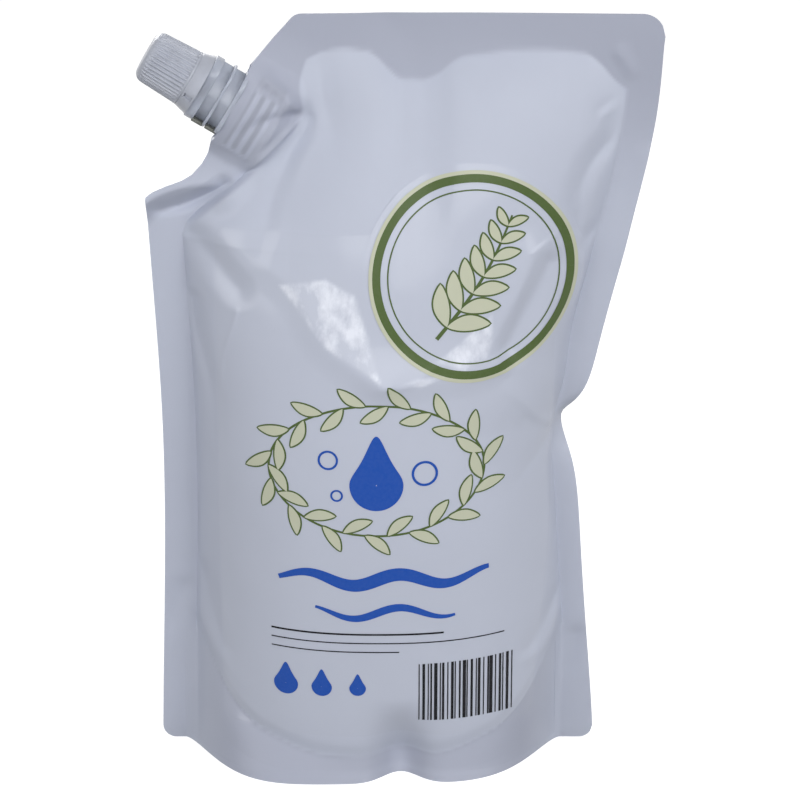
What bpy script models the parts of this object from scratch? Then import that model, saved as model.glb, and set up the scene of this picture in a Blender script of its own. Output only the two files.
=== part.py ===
"""Refill pouch for liquid laundry detergent, with a screw spout in its cut corner.

The pouch stands on the floor at z = 0 with its front towards -y.  The origin lies in the
middle of its base.  The film is worked out as a front and a back sheet over the front view:
x across, z up.  The spout, its ring, liner and cap are built upright and then tilted.
"""
import math
from collections import namedtuple

import bmesh
import bpy
import numpy as np
from mathutils import Matrix, Vector

MM = 0.001

# Clearances
GAP = 0.3 * MM

# Flat panel
POUCH_HEIGHT = 278 * MM
BASE_WIDTH = 162 * MM
TOP_REACH = 99.4 * MM
TOP_CORNER = 8 * MM
BASE_CORNER = 5 * MM
SIDE_SEAL = 9 * MM
TOP_SEAL = 14 * MM
SHEET = 0.25 * MM

# Filled body
BELLY_DEPTH = 35 * MM
BELLY_HEIGHT = 80 * MM
BASE_DEPTH = 37 * MM
BASE_LEAN = 2 * MM

# Waist where the right side seal buckles backwards
PINCH_DROP = 149.5 * MM
PINCH_DEPTH = 10 * MM
PINCH_ABOVE = 6 * MM
PINCH_BELOW = 16 * MM
PINCH_TURN = 6 * MM

# Bottom gusset: welded to each sheet below an arc, and sagging to the floor inside it
SKIRT = 0.5 * MM
WELD_LOW = 16 * MM
WELD_HIGH = 46 * MM
WELD_FLAT = 40 * MM
FLOOR_REACH = 48 * MM

# Dent in the middle of the front bottom edge
NOTCH_X = 8.5 * MM
NOTCH_DEPTH = 9.5 * MM
NOTCH_WIDTH = 9 * MM
NOTCH_HEIGHT = 42 * MM

# Spout: its anchor is where its axis crosses the film edge, its tilt is above the level
SPOUT_DROP = 32.05 * MM
SPOUT_INSET = 33.3 * MM
SPOUT_TILT = math.radians(31)
SPOUT_FORWARD = 3 * MM
BORE_RADIUS = 5.0 * MM
NECK_RADIUS = 6.2 * MM

# Mouth: the recess of the film edge that the lowest flange sits in
MOUTH_REACH = 13.3 * MM
MOUTH_STEP = 2.1 * MM
MOUTH_LOWER_SLANT = 1.7 * MM
MOUTH_UPPER_SLANT = 1.1 * MM
CUT_CORNER_RUN = 13 * MM

# Weld base, the boat-shaped part of the spout between the two sheets
BOAT_REACH = 15 * MM
BOAT_HALF = 6.0 * MM
BOAT_TIP = 0.4 * MM
BOAT_START = 3 * MM
BOAT_LENGTH = 9 * MM
BOAT_RIBS = 3
RIB_DEPTH = 0.5 * MM
FILM_OVER_BOAT = 0.7 * MM
BOAT_MARGIN = 5 * MM
SWELL_RUN = 11 * MM

# Guide flanges of the spout, from the film outwards
FLANGE_START = 0.5 * MM
FLANGE_DEPTH = 15 * MM
FLANGE_WIDTHS = (25.4 * MM, 25.4 * MM, 24.6 * MM)
FLANGE_THICKNESS = (2.1 * MM, 1.5 * MM, 3.2 * MM)
FLANGE_SPACE = 3.8 * MM
WEB_WIDTH = 18.8 * MM
WEB_THICKNESS = 2.0 * MM
POST_WIDTH = 1.6 * MM
POST_DEPTH = 9 * MM

# Threaded neck, tamper ring and cap
THREAD_NECK_RADIUS = 7.4 * MM
BEAD_RADIUS = 8.6 * MM
BEAD_HEIGHT = 1.2 * MM
RING_RADIUS = 10.4 * MM
RING_HEIGHT = 3.9 * MM
RING_WALL = 1.3 * MM
RING_WINDOW = 1.8 * MM
CAP_HEIGHT = 17 * MM
CAP_RADIUS = 9.8 * MM
CAP_FLARE = 0.3 * MM
CAP_WALL = 1.6 * MM
CAP_TOP = 1.3 * MM
CAP_ROUND = 2.0 * MM
CAP_RIBS = 40
CAP_RIB_DEPTH = 0.35 * MM
LINER_THICKNESS = 1.0 * MM

# Clear film labels on the front sheet
LABEL_THICKNESS = 0.3 * MM
LABEL_LEFT = -56.5 * MM
LABEL_WIDTH_LOW = 111 * MM
LABEL_WIDTH_HIGH = 119 * MM
LABEL_BOTTOM = 18 * MM
LABEL_TOP_DROP = 73 * MM
LABEL_CORNER = 4 * MM
STICKER_X = 34 * MM
STICKER_DROP = 88 * MM
STICKER_RADIUS = 39 * MM

# Fineness of the sheets
LEFT_COLUMNS = 7
BODY_COLUMNS = 24
RIGHT_COLUMNS = 3

Fold = namedtuple("Fold", "start end width height sharpness")

# Folds of the front sheet above its middle, in millimetres: x, then drop below the top edge
UPPER_FOLDS = (
    Fold((-27, 35), (-58, 66), 3.2, 1.8, 1.4),
    Fold((-38, 39), (-29, 35), 3.2, -1.8, 1.6),
    Fold((-25, 40), (-40, 78), 4.5, -2.2, 2.0),
    Fold((-68, 71), (-50, 110), 4.0, -2.8, 1.6),
    Fold((-60, 96), (-59, 124), 6.0, 1.6, 2.0),
    Fold((-19, 16), (-13, 42), 5.0, -1.4, 2.0),
    Fold((12, 22), (20, 46), 6.0, -1.2, 2.0),
    Fold((82, 24), (84, 30), 3.5, 1.6, 2.0),
    Fold((86, 34), (79, 58), 3.5, -2.0, 1.6),
    Fold((74, 70), (70, 92), 5.0, -2.0, 2.0),
    Fold((76, 96), (72, 128), 4.0, 1.4, 2.0),
    Fold((62, 146), (38, 132), 4.0, -2.0, 1.4),
    Fold((-24, 98), (2, 136), 8.0, -1.8, 2.0),
)

# Folds of the front sheet below its middle, in millimetres: x, then height above the floor
LOWER_FOLDS = (
    Fold((-69, 52), (-50, 26), 3.0, -1.8, 1.4),
    Fold((-60, 62), (-56, 46), 3.5, -2.4, 1.6),
    Fold((69, 52), (50, 26), 3.0, -1.8, 1.4),
    Fold((64, 66), (57, 50), 3.5, -2.4, 1.6),
    Fold((62, 122), (60, 84), 3.5, 1.8, 1.6),
    Fold((-64, 130), (-63, 70), 4.0, 1.2, 2.0),
)


def smooth(share):
    """Ease from 0 to 1."""
    share = np.clip(share, 0.0, 1.0)
    return share * share * (3.0 - 2.0 * share)


def curve(points, at):
    """Smooth curve through a few (position, value) points in millimetres, in metres."""
    place, value = (np.array(column) * MM for column in zip(*points))
    slope = np.gradient(value, place)
    k = np.clip(np.searchsorted(place, at) - 1, 0, len(place) - 2)
    run = place[k + 1] - place[k]
    t = np.clip((at - place[k]) / run, 0.0, 1.0)
    start = (1 + 2 * t) * (1 - t) ** 2 * value[k] + t * (1 - t) ** 2 * run * slope[k]
    return start + t * t * (3 - 2 * t) * value[k + 1] - t * t * (1 - t) * run * slope[k + 1]


def corner_rise(distance, radius):
    """How far a rounded corner rises from the straight edge at a distance from the side."""
    inside = np.clip(radius - distance, 0.0, radius)
    return radius - np.sqrt(radius * radius - inside * inside)


# Spout frame
LEFT = -BASE_WIDTH / 2
SPOUT_ANCHOR = Vector((LEFT + SPOUT_INSET, -SPOUT_FORWARD, POUCH_HEIGHT - SPOUT_DROP))
SPOUT_TURN = -(math.pi / 2 - SPOUT_TILT)
SPOUT_OUT = Vector((-math.cos(SPOUT_TILT), 0.0, math.sin(SPOUT_TILT)))
SPOUT_ACROSS = Vector((math.sin(SPOUT_TILT), 0.0, math.cos(SPOUT_TILT)))


def spout_coordinates(x, z):
    """Depth into the film from its edge, and distance across the spout's axis."""
    dx, dz = x - SPOUT_ANCHOR.x, z - SPOUT_ANCHOR.z
    depth = -(dx * SPOUT_OUT.x + dz * SPOUT_OUT.z)
    return depth, dx * SPOUT_ACROSS.x + dz * SPOUT_ACROSS.z


def pinch(z):
    """Strength of the buckled waist, 1 at its sharpest."""
    rise = z - (POUCH_HEIGHT - PINCH_DROP)
    width = np.where(rise > 0, PINCH_ABOVE, PINCH_BELOW)
    return 1.0 / (1.0 + (rise / width) ** 2)


def mouth_corners():
    """Corners of the mouth from below upwards: two at its lower step, two at its upper one."""
    places = ((-MOUTH_REACH - MOUTH_LOWER_SLANT, MOUTH_STEP), (-MOUTH_REACH, 0.0),
              (MOUTH_REACH, 0.0), (MOUTH_REACH + MOUTH_UPPER_SLANT, MOUTH_STEP))
    return [SPOUT_ANCHOR + across * SPOUT_ACROSS + out * SPOUT_OUT for across, out in places]


def left_edge(z):
    """Left outline: nearly upright, then the shoulder, the spout's mouth and the cut corner."""
    side = LEFT + curve(((0, 0), (130, 3.4), (205, 0.5)), z)
    corners = mouth_corners()
    drops = np.array([64, 62.4, 60.1, 58.4, 56.3, 52.6, 48.8]) * MM
    insets = np.array([0.6, 2.4, 7.8, 13, 16.8, 20.3, 22.5]) * MM
    heights = np.concatenate((POUCH_HEIGHT - drops, [corner.z for corner in corners], [POUCH_HEIGHT]))
    places = np.concatenate((LEFT + insets, [corner.x for corner in corners],
                             [corners[-1].x + CUT_CORNER_RUN]))
    return np.where(z < heights[0], side, np.interp(z, heights, places))


def right_edge(z):
    """Right outline: leaning in from the top corner, pinched at the waist."""
    lean = ((0, 18.4), (110, 23.6), (155, 19.6), (200, 10.1), (244, 1.8), (278, 0))
    return TOP_REACH - curve(lean, z) - PINCH_DEPTH * pinch(z)


def body_left(z):
    """Inner edge of the left seal, which widens round the spout."""
    below = left_edge(z) + SIDE_SEAL
    drop = POUCH_HEIGHT - z
    inset = curve(((12, 58), (24, 51.5), (37, 45.8), (50, 37.5), (58, 26), (66, 14), (74, 9)), drop)
    return np.where(drop < 74 * MM, LEFT + inset, below)


def body_right(z):
    """Inner edge of the right seal, hidden at the waist where the seal turns back."""
    return right_edge(z) - SIDE_SEAL + (SIDE_SEAL - 3 * MM) * pinch(z) ** 2


def top_seal_edge(x):
    """Lower edge of the top seal: two swollen lobes with a tongue of seal between them."""
    lobe = 2.5 * MM * np.exp(-((x + 10 * MM) / (12 * MM)) ** 2)
    tongue = 9.5 * MM * np.exp(-((x - 13 * MM) / (7 * MM)) ** 2)
    return POUCH_HEIGHT - TOP_SEAL + lobe - tongue


def base_bow(x):
    """How far the bottom edge bows out from the middle plane, without its dent."""
    half = BASE_WIDTH / 2 - SIDE_SEAL - 1 * MM
    share = np.clip(np.abs(x + BASE_LEAN) / half, 0.0, 1.0)
    lean = 1.0 - 0.05 * np.clip(x / half, -1.0, 1.0)
    return np.maximum(BASE_DEPTH * lean * (1.0 - share ** 5) ** 1.7, SHEET)


def weld_arc(x):
    """Height of the line along which the gusset leaves the sheet."""
    reach = BASE_WIDTH / 2 - SIDE_SEAL - WELD_FLAT
    share = np.clip((np.abs(x) - WELD_FLAT) / reach, 0.0, 1.0)
    return WELD_LOW + (WELD_HIGH - WELD_LOW) * share ** 1.6


def body_swell(x, z):
    """Half depth of the filled body over the front view, zero at its seals."""
    middle = (body_left(z) + body_right(z)) / 2
    half = (body_right(z) - body_left(z)) / 2
    across = np.clip(np.abs(x - middle) / half, 0.0, 1.0)
    seal = top_seal_edge(x)
    up = np.clip((seal - z) / (seal - BELLY_HEIGHT), 0.0, 1.0)
    return BELLY_DEPTH * np.sin(np.pi / 2 * up ** 0.78) * (1.0 - across ** 2.4) ** 0.75


def boat_swell(x, z):
    """Half depth of the film that is stretched over the spout's weld base."""
    depth, across = spout_coordinates(x, z)
    share = np.clip(np.abs(across) / (BOAT_REACH + BOAT_MARGIN), 0.0, 1.0)
    crown = BOAT_HALF + BOAT_TIP + GAP + FILM_OVER_BOAT
    end = BOAT_START + BOAT_LENGTH + 1 * MM
    return crown * (1.0 - share ** 2) ** 1.25 * (1.0 - smooth((depth - end) / SWELL_RUN))


def fold_relief(x, z, folds, from_top):
    """Height that the listed ridges and valleys add to a sheet."""
    relief = np.zeros_like(x)
    for fold in folds:
        heights = [POUCH_HEIGHT - value * MM if from_top else value * MM
                   for value in (fold.start[1], fold.end[1])]
        sx, sz = fold.start[0] * MM, heights[0]
        dx, dz = fold.end[0] * MM - sx, heights[1] - sz
        length = math.hypot(dx, dz)
        along = ((x - sx) * dx + (z - sz) * dz) / length
        aside = ((x - sx) * dz - (z - sz) * dx) / length
        beyond = np.maximum(np.maximum(-along, along - length), 0.0)
        width = fold.width * MM
        profile = np.exp(-(np.hypot(aside, beyond) / width) ** fold.sharpness)
        relief += fold.height * MM * profile
    return relief


def notch(x, z):
    """Depth of the dent in the front bottom edge."""
    side = np.exp(-((x - NOTCH_X) / NOTCH_WIDTH) ** 2)
    return NOTCH_DEPTH * side * (1.0 - smooth(z / NOTCH_HEIGHT))


def half_depth(x, z, front):
    """Distance of a sheet from the middle surface."""
    weld = weld_arc(x)
    above = body_swell(x, np.maximum(z, weld))
    share = np.clip(z / weld, 0.0, 1.0)
    body = base_bow(x) * (1.0 - share) + above * share
    boat = boat_swell(x, z)
    depth = (body ** 3 + boat ** 3) ** (1 / 3)
    if front:
        inside = smooth(depth / (4 * MM)) * (1.0 - smooth(boat / (3 * MM)))
        depth = depth + inside * (fold_relief(x, z, UPPER_FOLDS, True)
                                  + fold_relief(x, z, LOWER_FOLDS, False) - notch(x, z))
    return np.maximum(depth, SHEET)


def middle_surface(x, z):
    """Where the two sheets' middle lies in y: forward at the spout, back at the buckled waist."""
    depth, across = spout_coordinates(x, z)
    reach = np.hypot(np.maximum(depth - BOAT_LENGTH, 0.0), across * 0.8)
    forward = SPOUT_FORWARD * (1.0 - smooth((reach - 10 * MM) / (16 * MM)))
    seal = np.clip((x - body_right(z)) / (right_edge(z) - body_right(z)), 0.0, 1.0)
    wave = 1.2 * MM * np.sin(x / (26 * MM) + 0.6) * smooth((z - POUCH_HEIGHT + 30 * MM) / (26 * MM))
    return PINCH_TURN * seal * pinch(z) ** 2 - forward + wave * (1.0 - forward / SPOUT_FORWARD)


def sheet_y(x, z, front):
    """Place in y of a sheet's outer face."""
    side = -1.0 if front else 1.0
    return middle_surface(x, z) + side * half_depth(x, z, front)


def row_heights():
    """Levels of the sheets' rows, closer where the form turns faster."""
    label_top = POUCH_HEIGHT - LABEL_TOP_DROP
    corners = [corner.z for corner in mouth_corners()]
    levels = (0.0, WELD_LOW, WELD_HIGH, label_top, POUCH_HEIGHT - 64 * MM, POUCH_HEIGHT - 54 * MM,
              *corners, POUCH_HEIGHT - TOP_SEAL, POUCH_HEIGHT)
    counts = (3, 5, 15, 2, 5, 4, 1, 8, 1, 2, 3)
    rows = [np.linspace(low, high, count, endpoint=False)
            for low, high, count in zip(levels, levels[1:], counts)]
    return np.append(np.concatenate(rows), POUCH_HEIGHT)


def sheet_grid():
    """Front view places of the grid that both sheets share, as arrays of columns by rows."""
    z = row_heights()[None, :]
    near = np.linspace(0.0, 1.0, LEFT_COLUMNS, endpoint=False)[:, None]
    far = np.linspace(0.0, 1.0, RIGHT_COLUMNS, endpoint=False)[:, None] ** 1.5
    body = np.linspace(0.0, 1.0, BODY_COLUMNS + 1)[:, None]
    body = body - 0.07 * np.sin(2 * np.pi * body)
    left, inner_left = left_edge(z), body_left(z)
    right, inner_right = right_edge(z), body_right(z)
    x = np.concatenate((left + (inner_left - left) * near,
                        inner_left + (inner_right - inner_left) * body,
                        right - (right - inner_right) * far[::-1]))
    bottom = (corner_rise(x[:, :1] - x[0, 0], BASE_CORNER)
              + corner_rise(x[-1, 0] - x[:, :1], BASE_CORNER))
    share = z / POUCH_HEIGHT
    top = (corner_rise(x[:, -1:] - x[0, -1], BASE_CORNER) * share ** 40
           + corner_rise(x[-1, -1] - x[:, -1:], TOP_CORNER) * share ** 24)
    return x, z + bottom * (1.0 - share) ** 8 - top


def underside(x, low, weld):
    """Points from the front bottom edge to the back one, over the skirt and the gusset."""
    front, back = sheet_y(x, low, True), sheet_y(x, low, False)
    steps = np.array([0.0, 0.5, 1.0, 0.92, 0.70, 0.45])
    levels = np.array([0.0, 0.5, 1.0])
    rise = np.clip((np.abs(x) - FLOOR_REACH) / (BASE_WIDTH / 2 - SIDE_SEAL - FLOOR_REACH), 0.0, 1.0)
    ridge = weld * rise ** 1.5
    half, points = [], []
    for sign, edge in ((1, True), (-1, False)):
        height = low + (weld - low) * levels
        face = sheet_y(np.full(3, x), height, edge) + sign * SKIRT
        side = [(face[k], height[k]) for k in range(3)]
        centre = (front + back) / 2
        for share in steps[3:]:
            y = centre + (face[2] - centre) * share
            fall = smooth((share - 0.62) / 0.38)
            side.append((y, ridge + (weld - ridge) * fall))
        half.append(side)
    points = half[0] + [((front + back) / 2, ridge)] + half[1][::-1]
    return [(x, y, z) for y, z in points]


def closed_underside(x, low, count):
    """The same points where all the layers are welded into one edge."""
    front, back = sheet_y(x, low, True), sheet_y(x, low, False)
    return [(x, front + (back - front) * (k + 1) / (count + 1), low) for k in range(count)]


def make_object(name, bm, material):
    """Turn a bmesh into an object with its material."""
    mesh = bpy.data.meshes.new(name)
    bmesh.ops.recalc_face_normals(bm, faces=bm.faces)
    bm.to_mesh(mesh)
    bm.free()
    mesh.materials.append(material)
    shape = bpy.data.objects.new(name, mesh)
    bpy.context.scene.collection.objects.link(shape)
    return shape


def make_material(name, colour, roughness, alpha=1.0, transmission=0.0):
    """Principled material of one sub-part."""
    material = bpy.data.materials.new(name)
    material.use_nodes = True
    shader = material.node_tree.nodes["Principled BSDF"]
    shader.inputs["Base Color"].default_value = (*colour, 1.0)
    shader.inputs["Roughness"].default_value = roughness
    shader.inputs["Alpha"].default_value = alpha
    shader.inputs["Transmission Weight"].default_value = transmission
    return material


def join_grid(bm, rows):
    """Triangles between neighbouring rows of vertices, all cut along the same diagonal."""
    for first, second in zip(rows, rows[1:]):
        for k in range(len(first) - 1):
            bm.faces.new((first[k], first[k + 1], second[k + 1]))
            bm.faces.new((first[k], second[k + 1], second[k]))


def boolean(target, tool, operation):
    """Boolean modifier with a hidden tool."""
    modifier = target.modifiers.new(tool.name, "BOOLEAN")
    modifier.operation = operation
    modifier.solver = "EXACT"
    modifier.object = tool
    tool.hide_render = True
    tool.display_type = "WIRE"


def shade_round(shape, degrees):
    """Smooth shading with sharp edges past an angle."""
    shape.data.shade_smooth()
    shape.data.set_sharp_from_angle(angle=math.radians(degrees))


def build_pouch(material):
    """The sealed pouch: two sheets, a gusset under them and a pocket for the spout."""
    bm = bmesh.new()
    x, z = sheet_grid()
    front = [[bm.verts.new(point) for point in zip(xs, ys, zs)]
             for xs, ys, zs in zip(x, sheet_y(x, z, True), z)]
    back = [[bm.verts.new(point) for point in zip(xs, ys, zs)]
            for xs, ys, zs in zip(x, sheet_y(x, z, False), z)]
    join_grid(bm, front)
    join_grid(bm, back)
    for edge in (0, -1):
        join_grid(bm, [front[edge][1:], back[edge][1:]])
    join_grid(bm, [[column[-1] for column in front], [column[-1] for column in back]])
    loops = []
    for k in range(x.shape[0]):
        place, low = x[k, 0], z[k, 0]
        welded = base_bow(place) < 3 * SKIRT
        points = closed_underside(place, low, 13) if welded else underside(place, low, weld_arc(place))
        loops.append([front[k][0]] + [bm.verts.new(point) for point in points] + [back[k][0]])
    join_grid(bm, loops)
    for edge in (0, -1):
        bm.faces.new([front[edge][1]] + loops[edge] + [back[edge][1]])
    pouch = make_object("pouch", bm, material)
    pocket = build_boat("pouch_pocket", material, GAP, False)
    boolean(pouch, pocket, "DIFFERENCE")
    shade_round(pouch, 40)
    return pouch


def place_on_spout(shape, rise=0.0):
    """Tilt an upright piece onto the spout's axis, with its origin on that axis."""
    shape.rotation_euler = (0.0, SPOUT_TURN, 0.0)
    shape.location = SPOUT_ANCHOR + rise * SPOUT_OUT


def revolve(bm, profile, segments=28):
    """Closed ring of revolution about z from a closed profile of (radius, height) points."""
    rings = []
    for k in range(segments):
        angle = 2 * math.pi * k / segments
        rings.append([bm.verts.new((r * math.cos(angle), r * math.sin(angle), h))
                      for r, h in profile])
    for first, second in zip(rings, rings[1:] + rings[:1]):
        for k in range(len(profile)):
            follow = (k + 1) % len(profile)
            bm.faces.new((first[k], second[k], second[follow], first[follow]))


def prism(bm, outline, low, high):
    """Closed prism with its outline in (x, y) between two heights."""
    bottom = [bm.verts.new((px, py, low)) for px, py in outline]
    top = [bm.verts.new((px, py, high)) for px, py in outline]
    bm.faces.new(bottom[::-1])
    bm.faces.new(top)
    for k in range(len(outline)):
        follow = (k + 1) % len(outline)
        bm.faces.new((bottom[k], bottom[follow], top[follow], top[k]))


def rounded_rectangle(width, depth, radius, steps=4):
    """Outline of a rounded rectangle about the origin."""
    points = []
    for quarter, (sx, sy) in enumerate(((1, 1), (-1, 1), (-1, -1), (1, -1))):
        cx, cy = sx * (width / 2 - radius), sy * (depth / 2 - radius)
        for k in range(steps):
            angle = math.pi / 2 * (quarter + k / (steps - 1))
            points.append((cx + radius * math.cos(angle), cy + radius * math.sin(angle)))
    return points


def boat_outline(grow, inset=0.0, steps=9):
    """Lens outline of the weld base, grown by a clearance or drawn in between its ribs."""
    reach = BOAT_REACH + grow - inset
    places = [-reach + 2 * reach * k / (steps - 1) for k in range(steps)]
    half = [BOAT_TIP + grow + (BOAT_HALF - inset) * (1.0 - (p / reach) ** 2) ** 0.9
            if abs(p) < reach * 0.999 else BOAT_TIP + grow for p in places]
    front = [(p, -h) for p, h in zip(places, half)]
    back = [(p, h) for p, h in zip(places[::-1], half[::-1])]
    return front + back


def loft(bm, sections):
    """Closed solid through stacked outlines of equal count, given as (outline, height)."""
    rings = [[bm.verts.new((px, py, height)) for px, py in outline] for outline, height in sections]
    for first, second in zip(rings, rings[1:]):
        for k in range(len(first)):
            follow = (k + 1) % len(first)
            bm.faces.new((first[k], first[follow], second[follow], second[k]))
    bm.faces.new(rings[0][::-1])
    bm.faces.new(rings[-1])


def build_boat(name, material, grow, ribbed):
    """Weld base with its short round neck, or the pocket that it leaves in the film."""
    end = -(BOAT_START + BOAT_LENGTH) - grow
    start = -BOAT_START + grow
    bm = bmesh.new()
    if ribbed:
        pitch = (start - end) / (2 * BOAT_RIBS - 1)
        sections = []
        for k in range(2 * BOAT_RIBS - 1):
            outline = boat_outline(grow, RIB_DEPTH if k % 2 else 0.0)
            sections += [(outline, end + k * pitch), (outline, end + (k + 1) * pitch)]
        loft(bm, sections)
    else:
        loft(bm, [(boat_outline(grow), end), (boat_outline(grow), start)])
    boat = make_object(name, bm, material)
    bm = bmesh.new()
    top = FLANGE_START + 0.4 * MM if ribbed else 4 * MM
    circle = [(math.cos(2 * math.pi * k / 32), math.sin(2 * math.pi * k / 32)) for k in range(32)]
    radius = NECK_RADIUS + grow
    prism(bm, [(radius * c, radius * s) for c, s in circle], start - 1 * MM, top)
    neck = make_object(name + "_neck", bm, material)
    boolean(boat, neck, "UNION")
    place_on_spout(boat)
    place_on_spout(neck)
    return boat


def flange_levels():
    """Lower and upper height of each guide flange."""
    levels, low = [], FLANGE_START
    for thickness in FLANGE_THICKNESS:
        levels.append((low, low + thickness))
        low += thickness + FLANGE_SPACE
    return levels


def ring_bottom():
    """Height of the tamper ring's lower face, just above the last flange."""
    return flange_levels()[-1][1] + GAP


def cap_bottom():
    """Height of the cap's lower rim, just above the tamper ring."""
    return ring_bottom() + RING_HEIGHT + GAP


def neck_top():
    """Height of the neck's rim, just under the liner."""
    return cap_bottom() + CAP_HEIGHT - CAP_TOP - LINER_THICKNESS - 2 * GAP


def build_spout(material):
    """The spout: weld base, neck, guide flanges with webs, and the neck that holds the cap."""
    spout = build_boat("spout", material, 0.0, True)
    tools = []
    levels = flange_levels()
    for k, ((low, high), width) in enumerate(zip(levels, FLANGE_WIDTHS)):
        bm = bmesh.new()
        prism(bm, rounded_rectangle(width, FLANGE_DEPTH, 3.5 * MM), low, high)
        tools.append(make_object(f"spout_flange_{k}", bm, material))
    bottom, top = levels[0][0] + 0.5 * MM, levels[-1][0] + 0.5 * MM
    bm = bmesh.new()
    prism(bm, rounded_rectangle(WEB_WIDTH, WEB_THICKNESS, 0.3 * MM, 2), bottom, top)
    tools.append(make_object("spout_web", bm, material))
    for side in (-1, 1):
        bm = bmesh.new()
        post = [(px + side * (WEB_WIDTH - POST_WIDTH) / 2, py)
                for px, py in rounded_rectangle(POST_WIDTH, POST_DEPTH, 0.3 * MM, 2)]
        prism(bm, post, bottom + 0.1 * MM, top + 0.1 * MM)
        tools.append(make_object(f"spout_post_{side + 1}", bm, material))
    bead = ring_bottom() + RING_HEIGHT / 2
    bm = bmesh.new()
    profile = ((NECK_RADIUS - 0.5 * MM, 0.2 * MM), (NECK_RADIUS, 0.2 * MM),
               (NECK_RADIUS, levels[-1][0] + 1 * MM), (THREAD_NECK_RADIUS, levels[-1][0] + 1 * MM),
               (THREAD_NECK_RADIUS, bead), (BEAD_RADIUS, bead), (BEAD_RADIUS, bead + BEAD_HEIGHT),
               (THREAD_NECK_RADIUS, bead + BEAD_HEIGHT), (THREAD_NECK_RADIUS, neck_top()),
               (NECK_RADIUS - 0.5 * MM, neck_top()))
    revolve(bm, profile)
    tools.append(make_object("spout_neck_wall", bm, material))
    for tool in tools:
        place_on_spout(tool)
        boolean(spout, tool, "UNION")
    bm = bmesh.new()
    circle = [(BORE_RADIUS * math.cos(2 * math.pi * k / 32), BORE_RADIUS * math.sin(2 * math.pi * k / 32))
              for k in range(32)]
    prism(bm, circle, -(BOAT_START + BOAT_LENGTH) - 2 * MM, neck_top() + 2 * MM)
    bore = make_object("spout_bore", bm, material)
    place_on_spout(bore)
    boolean(spout, bore, "DIFFERENCE")
    shade_round(spout, 30)
    return spout


def build_tamper_ring(material):
    """Smooth ring that stays on the neck under the cap, with one small window."""
    bm = bmesh.new()
    low, high = ring_bottom(), ring_bottom() + RING_HEIGHT
    inner = RING_RADIUS - RING_WALL
    step = 0.4 * MM
    profile = ((inner, low), (RING_RADIUS - step, low), (RING_RADIUS, low + step),
               (RING_RADIUS - step, high), (inner, high))
    revolve(bm, profile, 40)
    ring = make_object("tamper_ring", bm, material)
    bm = bmesh.new()
    window = rounded_rectangle(RING_WINDOW, 4 * RING_WALL, 0.4 * MM, 3)
    middle = -RING_RADIUS
    prism(bm, [(px - 4 * MM, py + middle) for px, py in window], low + 1.0 * MM, high - 0.9 * MM)
    cut = make_object("tamper_ring_window", bm, material)
    place_on_spout(ring)
    place_on_spout(cut)
    boolean(ring, cut, "DIFFERENCE")
    shade_round(ring, 30)
    return ring


def build_cap(material):
    """Ribbed screw cap, hollow, with a rounded top edge."""
    bm = bmesh.new()
    segments = 2 * CAP_RIBS
    inner = CAP_RADIUS - CAP_WALL
    ceiling = CAP_HEIGHT - CAP_TOP
    rib_top = CAP_HEIGHT - CAP_ROUND
    shape = ((inner, ceiling, 0.0), (inner, 0.0, 0.0), (CAP_RADIUS + CAP_FLARE, 0.0, 1.0),
             (CAP_RADIUS, rib_top, 1.0), (CAP_RADIUS - 0.3 * CAP_ROUND, CAP_HEIGHT - 0.3 * CAP_ROUND, 0.4),
             (CAP_RADIUS - CAP_ROUND, CAP_HEIGHT, 0.0))
    rings = []
    for k in range(segments):
        angle = 2 * math.pi * k / segments
        groove = CAP_RIB_DEPTH if k % 2 else 0.0
        rings.append([bm.verts.new(((r - groove * share) * math.cos(angle),
                                    (r - groove * share) * math.sin(angle), h))
                      for r, h, share in shape])
    for first, second in zip(rings, rings[1:] + rings[:1]):
        for k in range(len(shape) - 1):
            bm.faces.new((first[k], second[k], second[k + 1], first[k + 1]))
    bm.faces.new([ring[0] for ring in rings])
    bm.faces.new([ring[-1] for ring in rings][::-1])
    cap = make_object("cap", bm, material)
    place_on_spout(cap, cap_bottom())
    shade_round(cap, 25)
    return cap


def build_liner(material):
    """Sealing disc under the cap's ceiling."""
    bm = bmesh.new()
    radius = THREAD_NECK_RADIUS + 0.2 * MM
    circle = [(radius * math.cos(2 * math.pi * k / 40), radius * math.sin(2 * math.pi * k / 40))
              for k in range(40)]
    prism(bm, circle, 0.0, LINER_THICKNESS)
    liner = make_object("cap_liner", bm, material)
    place_on_spout(liner, neck_top() + GAP)
    return liner


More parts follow.
